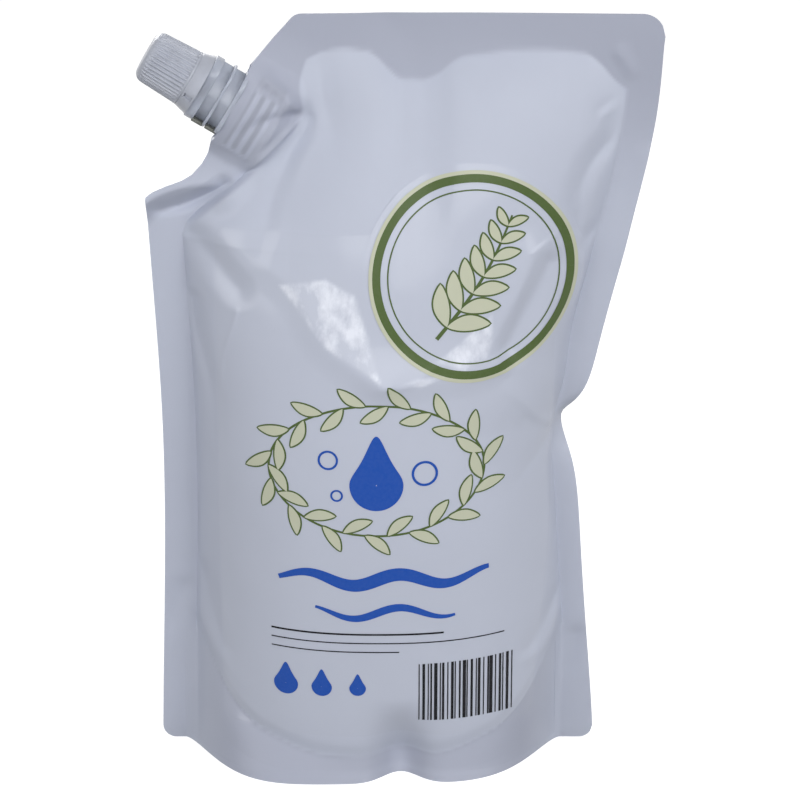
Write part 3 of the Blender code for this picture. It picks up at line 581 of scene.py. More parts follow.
@dataclass(frozen=True)
class FilmForm:
    """The pouch's film over the front view: x across, z up, and y worked out from them."""

    height: float = 278 * MM
    base_width: float = 162 * MM
    top_reach: float = 99.4 * MM
    top_corner: float = 8 * MM
    base_corner: float = 5 * MM
    base_seal: float = 9 * MM
    left_seal: float = 12 * MM
    right_seal: float = 11.3 * MM
    low_right_seal: float = 8.5 * MM
    sheet: float = 0.16 * MM
    belly_depth: float = 35 * MM
    belly_height: float = 80 * MM
    belly_power: float = 0.78
    lens_power: float = 2.4
    lens_blunt: float = 0.75
    base_depth: float = 37 * MM
    base_lean: float = 2 * MM
    pinch_drop: float = 149.5 * MM
    pinch_depth: float = 10 * MM
    pinch_above: float = 8.5 * MM
    pinch_below: float = 16 * MM
    pinch_turn: float = 6 * MM
    top_wave: float = 1.2 * MM
    top_wave_length: float = 26 * MM
    top_wave_start: float = 0.6
    skirt: float = 0.4 * MM
    weld_step: float = 1.0 * MM
    floor_reach: float = 48 * MM
    notch_x: float = 8.5 * MM
    notch_depth: float = 9.5 * MM
    notch_width: float = 9 * MM
    notch_low: float = 6 * MM
    notch_height: float = 28 * MM
    spout_drop: float = 32.05 * MM
    spout_inset: float = 33.3 * MM
    spout_tilt: float = math.radians(31)
    spout_forward: float = 3 * MM
    mouth_reach: float = 13.3 * MM
    mouth_low_out: float = 1.7 * MM
    mouth_high_out: float = 3.3 * MM
    mouth_step: float = 0.4 * MM
    mouth_lower_slant: float = 1.7 * MM
    mouth_upper_slant: float = 1.1 * MM
    cut_corner_run: float = 13 * MM
    boat_reach: float = 15 * MM
    boat_crown: float = 7.4 * MM
    boat_margin: float = 5 * MM
    boat_start: float = 3 * MM
    boat_length: float = 9 * MM
    swell_run: float = 11 * MM
    rib_pitch: float = 3.7 * MM
    rib_width: float = 1.5 * MM
    rib_relief: float = 0.42 * MM
    seal_tone_start: float = 205 * MM
    seal_tone_run: float = 50 * MM

    @property
    def left(self) -> float:
        """The left edge at the floor."""
        return -self.base_width / 2

    @property
    def anchor(self) -> np.ndarray:
        """Where the spout's axis crosses the film edge."""
        return np.array((self.left + self.spout_inset, -self.spout_forward,
                         self.height - self.spout_drop))

    @property
    def out(self) -> np.ndarray:
        """Direction of the spout's axis, outwards."""
        return np.array((-math.cos(self.spout_tilt), 0.0, math.sin(self.spout_tilt)))

    @property
    def across(self) -> np.ndarray:
        """Direction across the spout in the plane of the film."""
        return np.array((math.sin(self.spout_tilt), 0.0, math.cos(self.spout_tilt)))

    def spout_coordinates(self, x: np.ndarray, z: np.ndarray) -> tuple:
        """Depth into the film from its edge and distance across the spout's axis."""
        dx, dz = x - self.anchor[0], z - self.anchor[2]
        depth = -(dx * self.out[0] + dz * self.out[2])
        return depth, dx * self.across[0] + dz * self.across[2]

    def pinch(self, z: np.ndarray) -> np.ndarray:
        """Strength of the buckled waist: one over one plus the square of the scaled distance."""
        rise = z - (self.height - self.pinch_drop)
        width = np.where(rise > 0, self.pinch_above, self.pinch_below)
        return 1.0 / (1.0 + (rise / width) ** 2)

    @property
    def mouth_corners(self) -> np.ndarray:
        """Corners of the film's edge where it steps back round the spout, from low to high."""
        low, high, step = self.mouth_low_out, self.mouth_high_out, self.mouth_step
        places = ((-self.mouth_reach - self.mouth_lower_slant, low + step),
                  (-self.mouth_reach, low), (self.mouth_reach, high),
                  (self.mouth_reach + self.mouth_upper_slant, high + step))
        return np.array([self.anchor + side * self.across + out * self.out for side, out in places])

    def left_edge(self, z: np.ndarray) -> np.ndarray:
        """Left outline: upright side, shoulder, straight mouth of the spout and cut corner."""
        side = self.left + curve(((0, 0), (130, 3.4), (205, 0.5)), z)
        corners = self.mouth_corners
        drops = np.array([64, 62.4, 60.1, 58.4, 56.3, 52.6, 48.8]) * MM
        insets = np.array([0.6, 2.4, 7.8, 13, 16.8, 20.3, 22.5]) * MM
        heights = np.concatenate((self.height - drops, corners[:, 2], [self.height]))
        places = np.concatenate((self.left + insets, corners[:, 0],
                                 [corners[-1, 0] + self.cut_corner_run]))
        return np.where(z < heights[0], side, np.interp(z, heights, places))

    def right_edge(self, z: np.ndarray) -> np.ndarray:
        """Right outline: leaning in from the top corner and pinched at the waist."""
        lean = ((0, 18.4), (110, 23.6), (155, 19.6), (200, 10.1), (244, 1.8), (278, 0))
        return self.top_reach - curve(lean, z) - self.pinch_depth * self.pinch(z)

    def body_left(self, z: np.ndarray) -> np.ndarray:
        """Inner edge of the left seal, which widens round the spout."""
        below = self.left_edge(z) + self.left_seal
        drop = self.height - z
        inset = curve(((12, 58), (24, 54.5), (34.7, 55), (40, 52.5), (46.3, 45.5), (53.3, 38.5),
                       (59.4, 31.5), (69.1, 19.5), (74, 14.7), (80, 12.4)), drop)
        return np.where(drop < 80 * MM, self.left + inset, below)

    def body_right(self, z: np.ndarray) -> np.ndarray:
        """Inner edge of the right seal, hidden at the waist where the seal turns back."""
        seal = (self.low_right_seal
                + (self.right_seal - self.low_right_seal) * smooth((z - 130 * MM) / (40 * MM)))
        return self.right_edge(z) - seal + (seal - 3 * MM) * self.pinch(z) ** 2

    def top_seal_edge(self, x: np.ndarray) -> np.ndarray:
        """Lower edge of the top seal: two swollen lobes with a tongue of seal between them."""
        return curve(((-30, 258), (-23, 262.9), (-15.8, 265.6), (-7.2, 265.6), (-0.6, 263.5),
                      (4.2, 258.9), (7.3, 256), (12.8, 255.2), (16.9, 255.1), (21.4, 257),
                      (27.2, 261.6), (38.9, 264), (68.8, 264.5), (73.6, 263.6), (77.8, 260.3), (82, 255.4),
                      (86.3, 252), (92, 249)), x)

    def base_bow(self, x: np.ndarray) -> np.ndarray:
        """How far the bottom edge bows out: one less the fifth power, to the power 1.7."""
        half = self.base_width / 2 - self.base_seal - 1 * MM
        share = np.clip(np.abs(x + self.base_lean) / half, 0.0, 1.0)
        lean = 1.0 - 0.05 * np.clip(x / half, -1.0, 1.0)
        return np.maximum(self.base_depth * lean * (1.0 - share ** 5) ** 1.7, self.sheet)

    def weld_arc(self, x: np.ndarray) -> np.ndarray:
        """Height of the line along which the gusset leaves the sheet, from the middle outwards."""
        return curve(((0, 9), (12, 9.2), (24, 10.4), (35, 13.8), (46, 19), (55, 28), (62, 40),
                      (68, 51), (72, 56), (82, 60)), np.abs(x))

    def body_swell(self, x: np.ndarray, z: np.ndarray) -> np.ndarray:
        """Half depth of the filled body: a sine upwards times a blunt lens across."""
        middle = (self.body_left(z) + self.body_right(z)) / 2
        half = (self.body_right(z) - self.body_left(z)) / 2
        across = np.clip(np.abs(x - middle) / half, 0.0, 1.0)
        seal = self.top_seal_edge(x)
        up = np.clip((seal - z) / (seal - self.belly_height), 0.0, 1.0)
        lens = (1.0 - across ** self.lens_power) ** self.lens_blunt
        return self.belly_depth * np.sin(np.pi / 2 * up ** self.belly_power) * lens

    def boat_swell(self, x: np.ndarray, z: np.ndarray) -> np.ndarray:
        """Half depth of the film stretched over the weld base, fading behind it."""
        depth, across = self.spout_coordinates(x, z)
        share = np.clip(np.abs(across) / (self.boat_reach + self.boat_margin), 0.0, 1.0)
        end = self.boat_start + self.boat_length + 1 * MM
        fade = 1.0 - smooth((depth - end) / self.swell_run)
        return self.boat_crown * (1.0 - share ** 2) ** 1.25 * fade

    def rib_print(self, x: np.ndarray, z: np.ndarray) -> np.ndarray:
        """Relief of the weld ribs through the film: three rounded bars and the base's two ends."""
        depth, across = self.spout_coordinates(x, z)
        inside = smooth((self.boat_reach - 1.6 * MM - np.abs(across)) / (1.6 * MM))
        bars = np.zeros_like(depth)
        for k in range(4):
            aside = np.abs(depth - self.boat_start - (k - 0.02) * self.rib_pitch) / self.rib_width
            bars = np.maximum(bars, np.clip(1.0 - aside ** 2, 0.0, 1.0))
        ends = np.abs(np.abs(across) - self.boat_reach + 1.2 * MM) / (1.3 * MM)
        ends = np.clip(1.0 - ends ** 2, 0, 1)
        left = self.boat_start + self.boat_length + 2 * MM - depth
        along = smooth(depth / (2 * MM)) * smooth(left / (2 * MM))
        return self.rib_relief * (bars * inside + 0.8 * ends * along)

    def rib_light_and_shade(self, x: np.ndarray, z: np.ndarray) -> np.ndarray:
        """Painted light and shade of the ribs through the film: 1 on a rib or end web, -1 in the gaps
        between them.
        """
        depth, across = self.spout_coordinates(x, z)
        reach = smooth((self.boat_reach - 1.5 * MM + across) / (1 * MM))
        bars = smooth((9.8 * MM - across) / (1.4 * MM)) * reach
        wave = np.cos(2 * np.pi * depth / self.rib_pitch)
        along = smooth((depth - 1 * MM) / (1.5 * MM)) * smooth((12.4 * MM - depth) / (1.2 * MM))
        web = np.clip(1.0 - np.abs(across + self.boat_reach - 1.3 * MM) / (0.9 * MM), 0.0, 1.0)
        # Painted shade in a band past the upper ends of the rib bars.
        shade = smooth((across - 10.6 * MM) / (1 * MM)) * smooth((16 * MM - across) / (3 * MM))
        rib_light_shade = np.clip(1.5 * wave, -1, 0.9) * bars + 0.8 * web - 0.55 * shade
        return np.clip(along * rib_light_shade, -1, 1)

    def fold_relief(self, x: np.ndarray, z: np.ndarray, folds: tuple) -> np.ndarray:
        """Sum of the reliefs of some folds."""
        return sum(fold.relief(x, z) for fold in folds)

    def notch(self, x: np.ndarray, z: np.ndarray) -> np.ndarray:
        """Depth of the dent in the front bottom edge."""
        side = np.exp(-((x - self.notch_x) / self.notch_width) ** 2)
        return self.notch_depth * side * (1.0 - smooth((z - self.notch_low) / self.notch_height))

    def half_depth(self, x: np.ndarray, z: np.ndarray, front: bool) -> np.ndarray:
        """Distance of a sheet's outer face from the middle surface."""
        line = self.weld_arc(x)
        above = self.body_swell(x, np.maximum(z, line))
        share = np.clip(z / line, 0.0, 1.0)
        body = self.base_bow(x) * (1.0 - share) + above * share
        boat = self.boat_swell(x, z)
        depth = (body ** 3 + boat ** 3) ** (1 / 3)
        if front:
            swollen = smooth(depth / (3.5 * MM))
            relief = self.fold_relief(x, z, BODY_FOLDS) + self.fold_relief(x, z, LABEL_CREASES)
            step = 1.0 - smooth((z - line + 1 * MM) / (7 * MM))
            step = self.weld_step * step * smooth(z / (4 * MM))
            depth = depth + swollen * (relief - step) - smooth(depth / (8 * MM)) * self.notch(x, z)
        return np.maximum(depth + self.rib_print(x, z), self.sheet)

    def middle(self, x: np.ndarray, z: np.ndarray) -> np.ndarray:
        """Middle surface in y: forward at the spout, turned back at the buckled waist."""
        depth, across = self.spout_coordinates(x, z)
        reach = np.hypot(np.maximum(depth - self.boat_length, 0.0), across * 0.8)
        forward = self.spout_forward * (1.0 - smooth((reach - 10 * MM) / (16 * MM)))
        inner = self.body_right(z)
        seal = np.clip((x - inner) / (self.right_edge(z) - inner), 0.0, 1.0)
        rise = smooth((z - self.height + 30 * MM) / (26 * MM))
        wave = self.top_wave * np.sin(x / self.top_wave_length + self.top_wave_start) * rise
        turn = self.pinch_turn * seal * self.pinch(z) ** 2
        curl = self.fold_relief(x, z, SEAL_FOLDS)
        return turn - forward + wave * (1.0 - forward / self.spout_forward) - curl

    def y(self, x: np.ndarray, z: np.ndarray, front: bool = True) -> np.ndarray:
        """Place in y of a sheet's outer face."""
        return self.middle(x, z) + (-1.0 if front else 1.0) * self.half_depth(x, z, front)

    def skin(self, x: np.ndarray, z: np.ndarray, lift: float | np.ndarray) -> np.ndarray:
        """Points a small distance above the front sheet, along its normal.

        Args:
            x: Places across.
            z: Places up.
            lift: Distance from the film.

        Returns:
            An array with the points in its last axis.
        """
        step = 0.4 * MM
        y = self.y(x, z)
        slope_x = (self.y(x + step, z) - self.y(x - step, z)) / (2 * step)
        slope_z = (self.y(x, z + step) - self.y(x, z - step)) / (2 * step)
        length = np.sqrt(1.0 + slope_x ** 2 + slope_z ** 2)
        return np.stack((x + lift * slope_x / length, y - lift / length,
                         z + lift * slope_z / length), -1)


def mark_welds(piece: bpy.types.Object, form: FilmForm) -> None:
    """Write how much each point lies in a seal, and the painted highlights and shade of the ribs seen
    through the film.
    """
    x, y, z = point_places(piece)
    inside = np.minimum(x - form.body_left(z), form.body_right(z) - x)
    inside = np.minimum(inside, form.top_seal_edge(x) - z)
    welded = 1.0 - smooth((inside + 0.6 * MM) / (1.6 * MM))
    paler = smooth((z - form.seal_tone_start) / form.seal_tone_run)
    welded = welded * (0.15 + 0.85 * paler)
    below = 1.0 - smooth((z - form.weld_arc(x) + 0.5 * MM) / (1.2 * MM))
    below = below * (1.0 - 0.9 * smooth((np.abs(x) - 50 * MM) / (18 * MM)))
    note_points(piece, "weld", np.clip(np.maximum(welded, below), 0.0, 1.0))
    note_points(piece, "ribs", form.rib_light_and_shade(x, z) * (y < form.middle(x, z)))


@dataclass
class Pouch:
    """The film pouch: two sheets, gusset below, welded edges and the spout's mouth."""

    form: FilmForm
    left_columns: int = 48
    body_columns: int = 142
    right_columns: int = 11
    row_steps: tuple = (1.2, 1.75, 1.1, 1.0, 0.9, 0.9, 0.9, 0.9, 1.6)
    recess: float = 1.2 * MM
    sharp: float = 55.0
    merge: float = 2e-6
    across: tuple = (-1, -0.955, -0.945, -0.8, -0.6, -0.4, -0.2, 0,
                     0.2, 0.4, 0.6, 0.8, 0.945, 0.955, 1)

    def heights(self) -> np.ndarray:
        """Heights of the rows: even steps between set levels, finest round the spout."""
        form = self.form
        levels = [0.0, 16 * MM, 165 * MM, 214 * MM, *form.mouth_corners[:, 2], 264 * MM,
                  form.height]
        rows = [np.linspace(low, high, math.ceil((high - low) / (step * MM)), endpoint=False)
                for low, high, step in zip(levels, levels[1:], self.row_steps)]
        return np.concatenate(rows + [[form.height]])

    def front_view(self) -> tuple:
        """Places across and up of the grid that both sheets share, column by column."""
        form = self.form
        z = self.heights()[None, :]
        near = np.linspace(0.0, 1.0, self.left_columns, endpoint=False)[:, None]
        far = np.linspace(0.0, 1.0, self.right_columns, endpoint=False)[:, None]
        body = np.linspace(0.0, 1.0, self.body_columns + 1)[:, None]
        body = body - 0.03 * np.sin(2 * np.pi * body)
        left, inner_left = form.left_edge(z), form.body_left(z)
        right, inner_right = form.right_edge(z), form.body_right(z)
        x = np.concatenate((left + (inner_left - left) * near,
                            inner_left + (inner_right - inner_left) * body,
                            right - (right - inner_right) * far[::-1]))
        bottom = (corner_rise(x[:, :1] - x[0, 0], form.base_corner)
                  + corner_rise(x[-1, 0] - x[:, :1], form.base_corner))
        top_left = corner_rise(x[:, -1:] - x[0, -1], form.base_corner)
        top_right = corner_rise(x[-1, -1] - x[:, -1:], form.top_corner)
        share = z / form.height
        return x, z + bottom * (1.0 - share) ** 8 - top_left * share ** 40 - top_right * share ** 24

    def underside(self, x: np.ndarray, low: np.ndarray) -> np.ndarray:
        """Skirt and gusset for each column, from the front bottom edge to the back one.

        The inner face of the skirt follows the sheet up to the weld arc. From there the gusset
        eases down to the floor, or near the sides to its upright fold.
        """
        form = self.form
        line = form.weld_arc(x)
        rise = np.clip((np.abs(x) - form.floor_reach)
                       / (form.base_width / 2 - form.base_seal - form.floor_reach), 0.0, 1.0)
        ridge = line * rise ** 1.5
        front, back = form.y(x, low, True), form.y(x, low, False)
        centre = (front + back) / 2
        halves = []
        for sign, edge in ((1, True), (-1, False)):
            half = [np.stack((x, front if edge else back, low), -1)]
            for level in (0.0, 0.5, 1.0):
                z = low + (line - low) * level
                half.append(np.stack((x, form.y(x, z, edge) + sign * form.skirt, z), -1))
            face = half[-1][:, 1]
            for share in (0.9, 0.72, 0.5):
                fall = smooth((share - 0.62) / 0.38)
                y = centre + (face - centre) * share
                half.append(np.stack((x, y, ridge + (line - ridge) * fall), -1))
            halves.append(half)
        middle = np.stack((x, centre, ridge), -1)
        opened = np.stack(halves[0] + [middle] + halves[1][::-1], 1)
        share = np.linspace(0.0, 1.0, opened.shape[1])[None, :]
        across = front[:, None] + (back - front)[:, None] * share
        closed = np.stack(np.broadcast_arrays(x[:, None], across, low[:, None]), -1)
        welded = form.base_bow(x) < 3 * 0.5 * MM
        return np.where(welded[:, None, None], closed, opened)

    def edge_strip(self, x: np.ndarray, z: np.ndarray, mouth: bool) -> np.ndarray:
        """Cut edge of the film from front to back, sunk into a pocket at the spout's mouth."""
        form = self.form
        front, back = form.y(x, z, True), form.y(x, z, False)
        across = np.array(self.across)[None, :]
        middle, half = (front + back)[:, None] / 2, (back - front)[:, None] / 2
        if mouth:
            opened = smooth((half - 2.5 * MM) / (1.5 * MM))
        else:
            opened = np.zeros_like(half)
            across = np.linspace(-1.0, 1.0, across.size)[None, :]
        sink = self.recess * opened * smooth((0.957 - np.abs(across)) / 0.01)
        return np.stack(np.broadcast_arrays(x[:, None] - sink * form.out[0], middle + half * across,
                                            z[:, None] - sink * form.out[2]), -1)

    def build(self, finish: FilmFinish) -> bpy.types.Object:
        """The closed film surface with its weld attribute."""
        form = self.form
        x, z = self.front_view()
        front = np.stack((x, form.y(x, z, True), z), -1)
        back = np.stack((x, form.y(x, z, False), z), -1)
        bottom = self.underside(x[:, 0], z[:, 0])
        left = self.edge_strip(x[0], z[0], True)
        right = self.edge_strip(x[-1], z[-1], False)
        left[0], right[0] = bottom[0], bottom[-1]
        share = np.linspace(0.0, 1.0, bottom.shape[1])[None, :, None]
        top = front[:, -1][:, None] + (back[:, -1] - front[:, -1])[:, None] * share
        left[-1], right[-1] = top[0], top[-1]
        grids = (front, back[::-1], bottom[::-1], left, right[::-1], top)
        piece = closed_object("pouch_film", [(grid, False) for grid in grids], self.sharp, self.merge)
        mark_welds(piece, form)
        return finish_piece(piece, Body.POUCH, finish.material("pearl_film_skin"),
                            ("pouch",))


@dataclass
class Label:
    """The large clear film label on the front."""

    form: FilmForm
    left: float = -56.5 * MM
    width_low: float = 113.5 * MM
    width_high: float = 119.5 * MM
    bottom: float = 18 * MM
    top_drop: float = 73 * MM
    corner: float = 4 * MM
    rim_lift: float = 0.02 * MM
    rim_run: float = 7 * MM
    lift: float = 0.15 * MM
    thickness: float = 0.08 * MM
    columns: int = 140
    rows: int = 220

    def build(self, finish: FilmFinish) -> bpy.types.Object:
        """Grid over the label's rounded outline, laid on the film and given its thickness."""
        top = self.form.height - self.top_drop
        v = np.linspace(0.0, 1.0, self.rows + 1)[None, :]
        u = np.linspace(0.0, 1.0, self.columns + 1)[:, None]
        z = self.bottom + (top - self.bottom) * (v - 0.02 * np.sin(2 * np.pi * v))
        width = self.width_low + (self.width_high - self.width_low) * smooth(v * 2.2)
        inset = corner_rise(z - self.bottom, self.corner) + corner_rise(top - z, self.corner)
        x = self.left + inset + (width - 2 * inset) * (u - 0.03 * np.sin(2 * np.pi * u))
        z = z + 0.0 * x
        rim = np.minimum(np.minimum(x - x[0], x[-1] - x), np.minimum(z - self.bottom, top - z))
        lift = self.rim_lift + (self.lift - self.rim_lift) * smooth(rim / self.rim_run)
        grid = self.form.skin(x, z, lift)
        piece = mesh_object("front_label_film", [(grid, False)])
        mark_painted_highlights(piece)
        mark_welds(piece, self.form)
        thicken(piece, self.thickness)
        return finish_piece(piece, Body.POUCH, finish.material("glossy_label"),
                            ("front_label",))


def thicken(piece: bpy.types.Object, thickness: float) -> None:
    """Give a sheet its thickness below the side that faces out, with a crisp rim."""
    sheet = bmesh.new()
    sheet.from_mesh(piece.data)
    for edge in sheet.edges:
        edge.smooth = not edge.is_boundary
    sheet.to_mesh(piece.data)
    sheet.free()
    modifier = piece.modifiers.new("thickness", "SOLIDIFY")
    modifier.thickness = thickness
    modifier.offset = -1.0


@dataclass
class Sticker:
    """The round clear sticker over the label's upper right."""

    form: FilmForm
    x: float = 34 * MM
    drop: float = 88 * MM
    radius: float = 39 * MM
    rim_lift: float = 0.2 * MM
    rim_run: float = 7 * MM
    lift: float = 0.28 * MM
    thickness: float = 0.08 * MM
    rings: int = 40
    turns: int = 200

    @property
    def z(self) -> float:
        """Height of its centre."""
        return self.form.height - self.drop

    def build(self, finish: FilmFinish) -> bpy.types.Object:
        """Disc of rings, laid on the film."""
        angle = full_turn(self.turns)
        radius = self.radius * np.linspace(0.0, 1.0, self.rings + 1)[None, :]
        x, z = self.x + radius * np.cos(angle), self.z + radius * np.sin(angle)
        rim = self.radius - radius + 0.0 * angle
        lift = self.rim_lift + (self.lift - self.rim_lift) * smooth(rim / self.rim_run)
        grid = self.form.skin(x, z, lift)[::-1]
        piece = mesh_object("round_sticker_film", [(grid, True)])
        mark_painted_highlights(piece)
        thicken(piece, self.thickness)
        return finish_piece(piece, Body.POUCH, finish.material("glossy_sticker"),
                            ("round_sticker",))


@dataclass
class Ink:
    """Fields of one ink, each a small grid in the label's plane, joined into one piece."""

    form: FilmForm
    name: str
    lift: float
    patches: list = field(default_factory=list)

    def add(self, x: np.ndarray, z: np.ndarray) -> None:
        """Add a patch given by its places across and up, facing the front."""
        grid = self.form.skin(x, z, self.lift)
        side = np.cross(grid[-1, 0] - grid[0, 0], grid[0, -1] - grid[0, 0])
        self.patches.append((grid if side[1] < 0 else grid[::-1], False))

    def ribbon(self, x: np.ndarray, z: np.ndarray, width: np.ndarray, cells: int = 3) -> None:
        """Band of a width along a path: the path plus its sideways unit vector times a share."""
        dx, dz = np.gradient(x), np.gradient(z)
        length = np.hypot(dx, dz)
        share = np.linspace(-0.5, 0.5, cells + 1)[None, :]
        width = np.broadcast_to(width, x.shape)[:, None]
        self.add(x[:, None] - (dz / length)[:, None] * width * share,
                 z[:, None] + (dx / length)[:, None] * width * share)

    def ring(self, x: float, z: float, radius: float, width: float, count: int = 160) -> None:
        """Circle of a line width."""
        angle = np.linspace(0.0, 2 * np.pi, count)
        self.ribbon(x + radius * np.cos(angle), z + radius * np.sin(angle), np.array(width))

    def disc(self, x: float, z: float, radius: float, count: int = 28) -> None:
        """Filled circle, as a band from its middle."""
        angle = np.linspace(0.0, 2 * np.pi, count)[:, None]
        reach = radius * np.linspace(0.02, 1.0, max(3, int(radius / MM) + 2))[None, :]
        self.add(x + reach * np.cos(angle), z + reach * np.sin(angle))

    def leaf(self, base: tuple, angle: float, length: float, width: float,
             grow: float = 0.0) -> None:
        """Pointed leaf: its half width is a sine of the way along, to the power 0.8.

        Args:
            base: Place of its foot in metres.
            angle: Direction of its tip in radians.
            length: Length in metres.
            width: Greatest width in metres.
            grow: Margin added all round, for an outline below a lighter leaf.
        """
        u = np.linspace(0.0, 1.0, 18)[:, None]
        v = np.linspace(-1.0, 1.0, 6)[None, :]
        along = -grow + (length + 2 * grow) * u
        side = v * ((width / 2) * np.sin(np.pi * u) ** 0.8 + grow * np.sin(np.pi * u) ** 0.3)
        side = side + 0.06 * length * np.sin(np.pi * u)
        self.add(base[0] + along * math.cos(angle) - side * math.sin(angle),
                 base[1] + along * math.sin(angle) + side * math.cos(angle))

    def drop(self, x: float, z: float, radius: float) -> None:
        """Water drop: a circle whose upper part is drawn up to a point."""
        angle = np.linspace(0.0, 2 * np.pi, 60)[:, None]
        reach = np.linspace(0.02, 1.0, 10)[None, :]
        point = 1.0 + 0.9 * np.clip(np.sin(angle), 0.0, 1.0) ** 4
        narrow = 1.0 - 0.35 * np.clip(np.sin(angle), 0.0, 1.0) ** 2
        self.add(x + radius * reach * np.cos(angle) * narrow,
                 z + radius * reach * np.sin(angle) * point)

    def build(self, finish: InkFinish) -> bpy.types.Object:
        """Join the patches into one piece."""
        piece = mesh_object(self.name, self.patches)
        return finish_piece(piece, Body.POUCH, finish.material(self.name + "_ink"))


@dataclass
class Print:
    """Generic print: a ringed sprig, a leafy wreath round a drop, waves, rules and stripes."""

    form: FilmForm
    sticker: Sticker
    label_ink_lift: float = 0.30 * MM
    sticker_ink_lift: float = 0.40 * MM
    over: float = 0.07 * MM
    drop_height: float = 117 * MM
    drop_radius: float = 9.5 * MM
    bubbles: tuple = ((17, 121, 4.2, 0.9, 60), (-17, 126, 3.2, 0.8, 50), (-14, 113, 1.9, 0.7, 40))
    wave_bands: tuple = ((81, -35, 40, 5.0), (68, -22, 28, 3.0))
    wave_rise: float = 2.2 * MM
    wave_length: float = 5.2 * MM
    rule_lines: tuple = ((59.5, 24, 0.7), (56, 46, 0.45), (52.5, 8, 0.45))
    sticker_rings: tuple = ((34.0, 2.9), (30.0, 0.5), (36.0, 1.3))
    wreath_height: float = 122 * MM
    wreath_half_width: float = 38 * MM
    wreath_half_height: float = 24 * MM
    wreath_leaves: int = 30
    wreath_stem: float = 0.8 * MM
    leaf_turn: float = 0.62
    leaf_length: float = 11 * MM
    leaf_width: float = 3.6 * MM
    leaf_outline: float = 0.55 * MM
    stripes: int = 24
    stripe_pitch: float = 1.45
    stripe_start: float = 15.2
    stripe_widths: tuple = (0.4, 0.95, 0.4, 0.6, 1.2, 0.4, 0.8)
    bud_leaf_turn: float = 0.85
    bud_leaf_share: float = 0.36
    bud_leaf_outline: float = 0.6 * MM

    def build(self) -> None:
        """Draw every field of colour and build each ink's piece."""
        olive = Ink(self.form, "olive_print", self.label_ink_lift)
        pale = Ink(self.form, "pale_green_print", self.label_ink_lift + self.over)
        blue = Ink(self.form, "blue_print", self.label_ink_lift)
        black = Ink(self.form, "black_print", self.label_ink_lift)
        ring = Ink(self.form, "sticker_ring_print", self.sticker_ink_lift)
        sprig = Ink(self.form, "sticker_leaf_print", self.sticker_ink_lift + self.over)
        self.wreath(olive, pale)
        self.waves(blue)
        self.rules(black)
        self.ringed_sprig(ring, sprig)
        olive.build(InkFinish(OLIVE))
        pale.build(InkFinish(PALE_GREEN, 0.0))
        blue.build(InkFinish(BLUE))
        black.build(InkFinish(BLACK))
        ring.build(InkFinish(OLIVE))
        sprig.build(InkFinish(PALE_GREEN, 0.0))

    def wreath(self, olive: Ink, pale: Ink) -> None:
        """Oval wreath of leaves, alternately inside and outside its stem."""
        z, wide, tall = self.wreath_height, self.wreath_half_width, self.wreath_half_height
        for k in range(self.wreath_leaves):
            angle = 2 * math.pi * k / self.wreath_leaves
            foot = (wide * math.cos(angle), z + tall * math.sin(angle))
            heading = math.atan2(tall * math.cos(angle), -wide * math.sin(angle))
            heading += self.leaf_turn if k % 2 else -self.leaf_turn
            olive.leaf(foot, heading, self.leaf_length, self.leaf_width, self.leaf_outline)
            pale.leaf(foot, heading, self.leaf_length, self.leaf_width)
        angle = np.linspace(0.0, 2 * np.pi, 200)
        olive.ribbon(wide * np.cos(angle), z + tall * np.sin(angle), np.array(self.wreath_stem))

    def waves(self, blue: Ink) -> None:
        """Drop and bubbles inside the wreath, two waves below it and three small drops."""
        blue.drop(0.0, self.drop_height, self.drop_radius)
        for x, z, radius, width, count in self.bubbles:
            blue.ring(x * MM, z * MM, radius * MM, width * MM, count)
        for height, start, end, width in self.wave_bands:
            x = np.linspace(start * MM, end * MM, 120)
            share = (x - x[0]) / (x[-1] - x[0])
            swell = width * MM * (0.35 + 0.65 * np.sin(np.pi * share))
            line = height * MM + self.wave_rise * np.sin(x / self.wave_length)
            blue.ribbon(x, line, swell, 5)
        for k in range(3):
            blue.drop((-33 + 13 * k) * MM, 38 * MM, (4.4 - 0.7 * k) * MM)

    def rules(self, black: Ink) -> None:
        """Plain rules where small print would stand, and a block of upright stripes."""
        for height, end, width in self.rule_lines:
            x = np.linspace(-38 * MM, end * MM, 60)
            black.ribbon(x, np.full_like(x, height * MM), np.array(width * MM), 1)
        z = np.linspace(24.5 * MM, 47.5 * MM, 24)
        for k in range(self.stripes):
            width = self.stripe_widths[k % len(self.stripe_widths)] * MM
            x = (self.stripe_start + self.stripe_pitch * k + 0.2 * (k % 3)) * MM
            black.ribbon(np.full_like(z, x), z, width, 1)

    def ringed_sprig(self, ring: Ink, sprig: Ink) -> None:
        """Heavy ring of the sticker round a leaning sprig with paired leaves and buds."""
        x, z = self.sticker.x, self.sticker.z
        for ink, (radius, width) in zip((ring, ring, sprig), self.sticker_rings):
            ink.ring(x, z, radius * MM, width * MM, 220)
        along = np.linspace(0.0, 1.0, 60)
        stem_x = x - 13 * MM + 26 * MM * along + 3 * MM * np.sin(np.pi * along)
        stem_z = z - 21 * MM + 42 * MM * along
        ring.ribbon(stem_x, stem_z, 1.4 * MM - 0.7 * MM * along)
        for k in range(7):
            place = int(6 + 8 * k)
            heading = math.atan2(stem_z[place] - stem_z[place - 1],
                                 stem_x[place] - stem_x[place - 1])
            for side in (-1, 1):
                size = (15 - 1.3 * k) * MM
                foot, turned = (stem_x[place], stem_z[place]), heading + side * self.bud_leaf_turn
                ring.leaf(foot, turned, size, self.bud_leaf_share * size, self.bud_leaf_outline)
                sprig.leaf(foot, turned, size, self.bud_leaf_share * size)


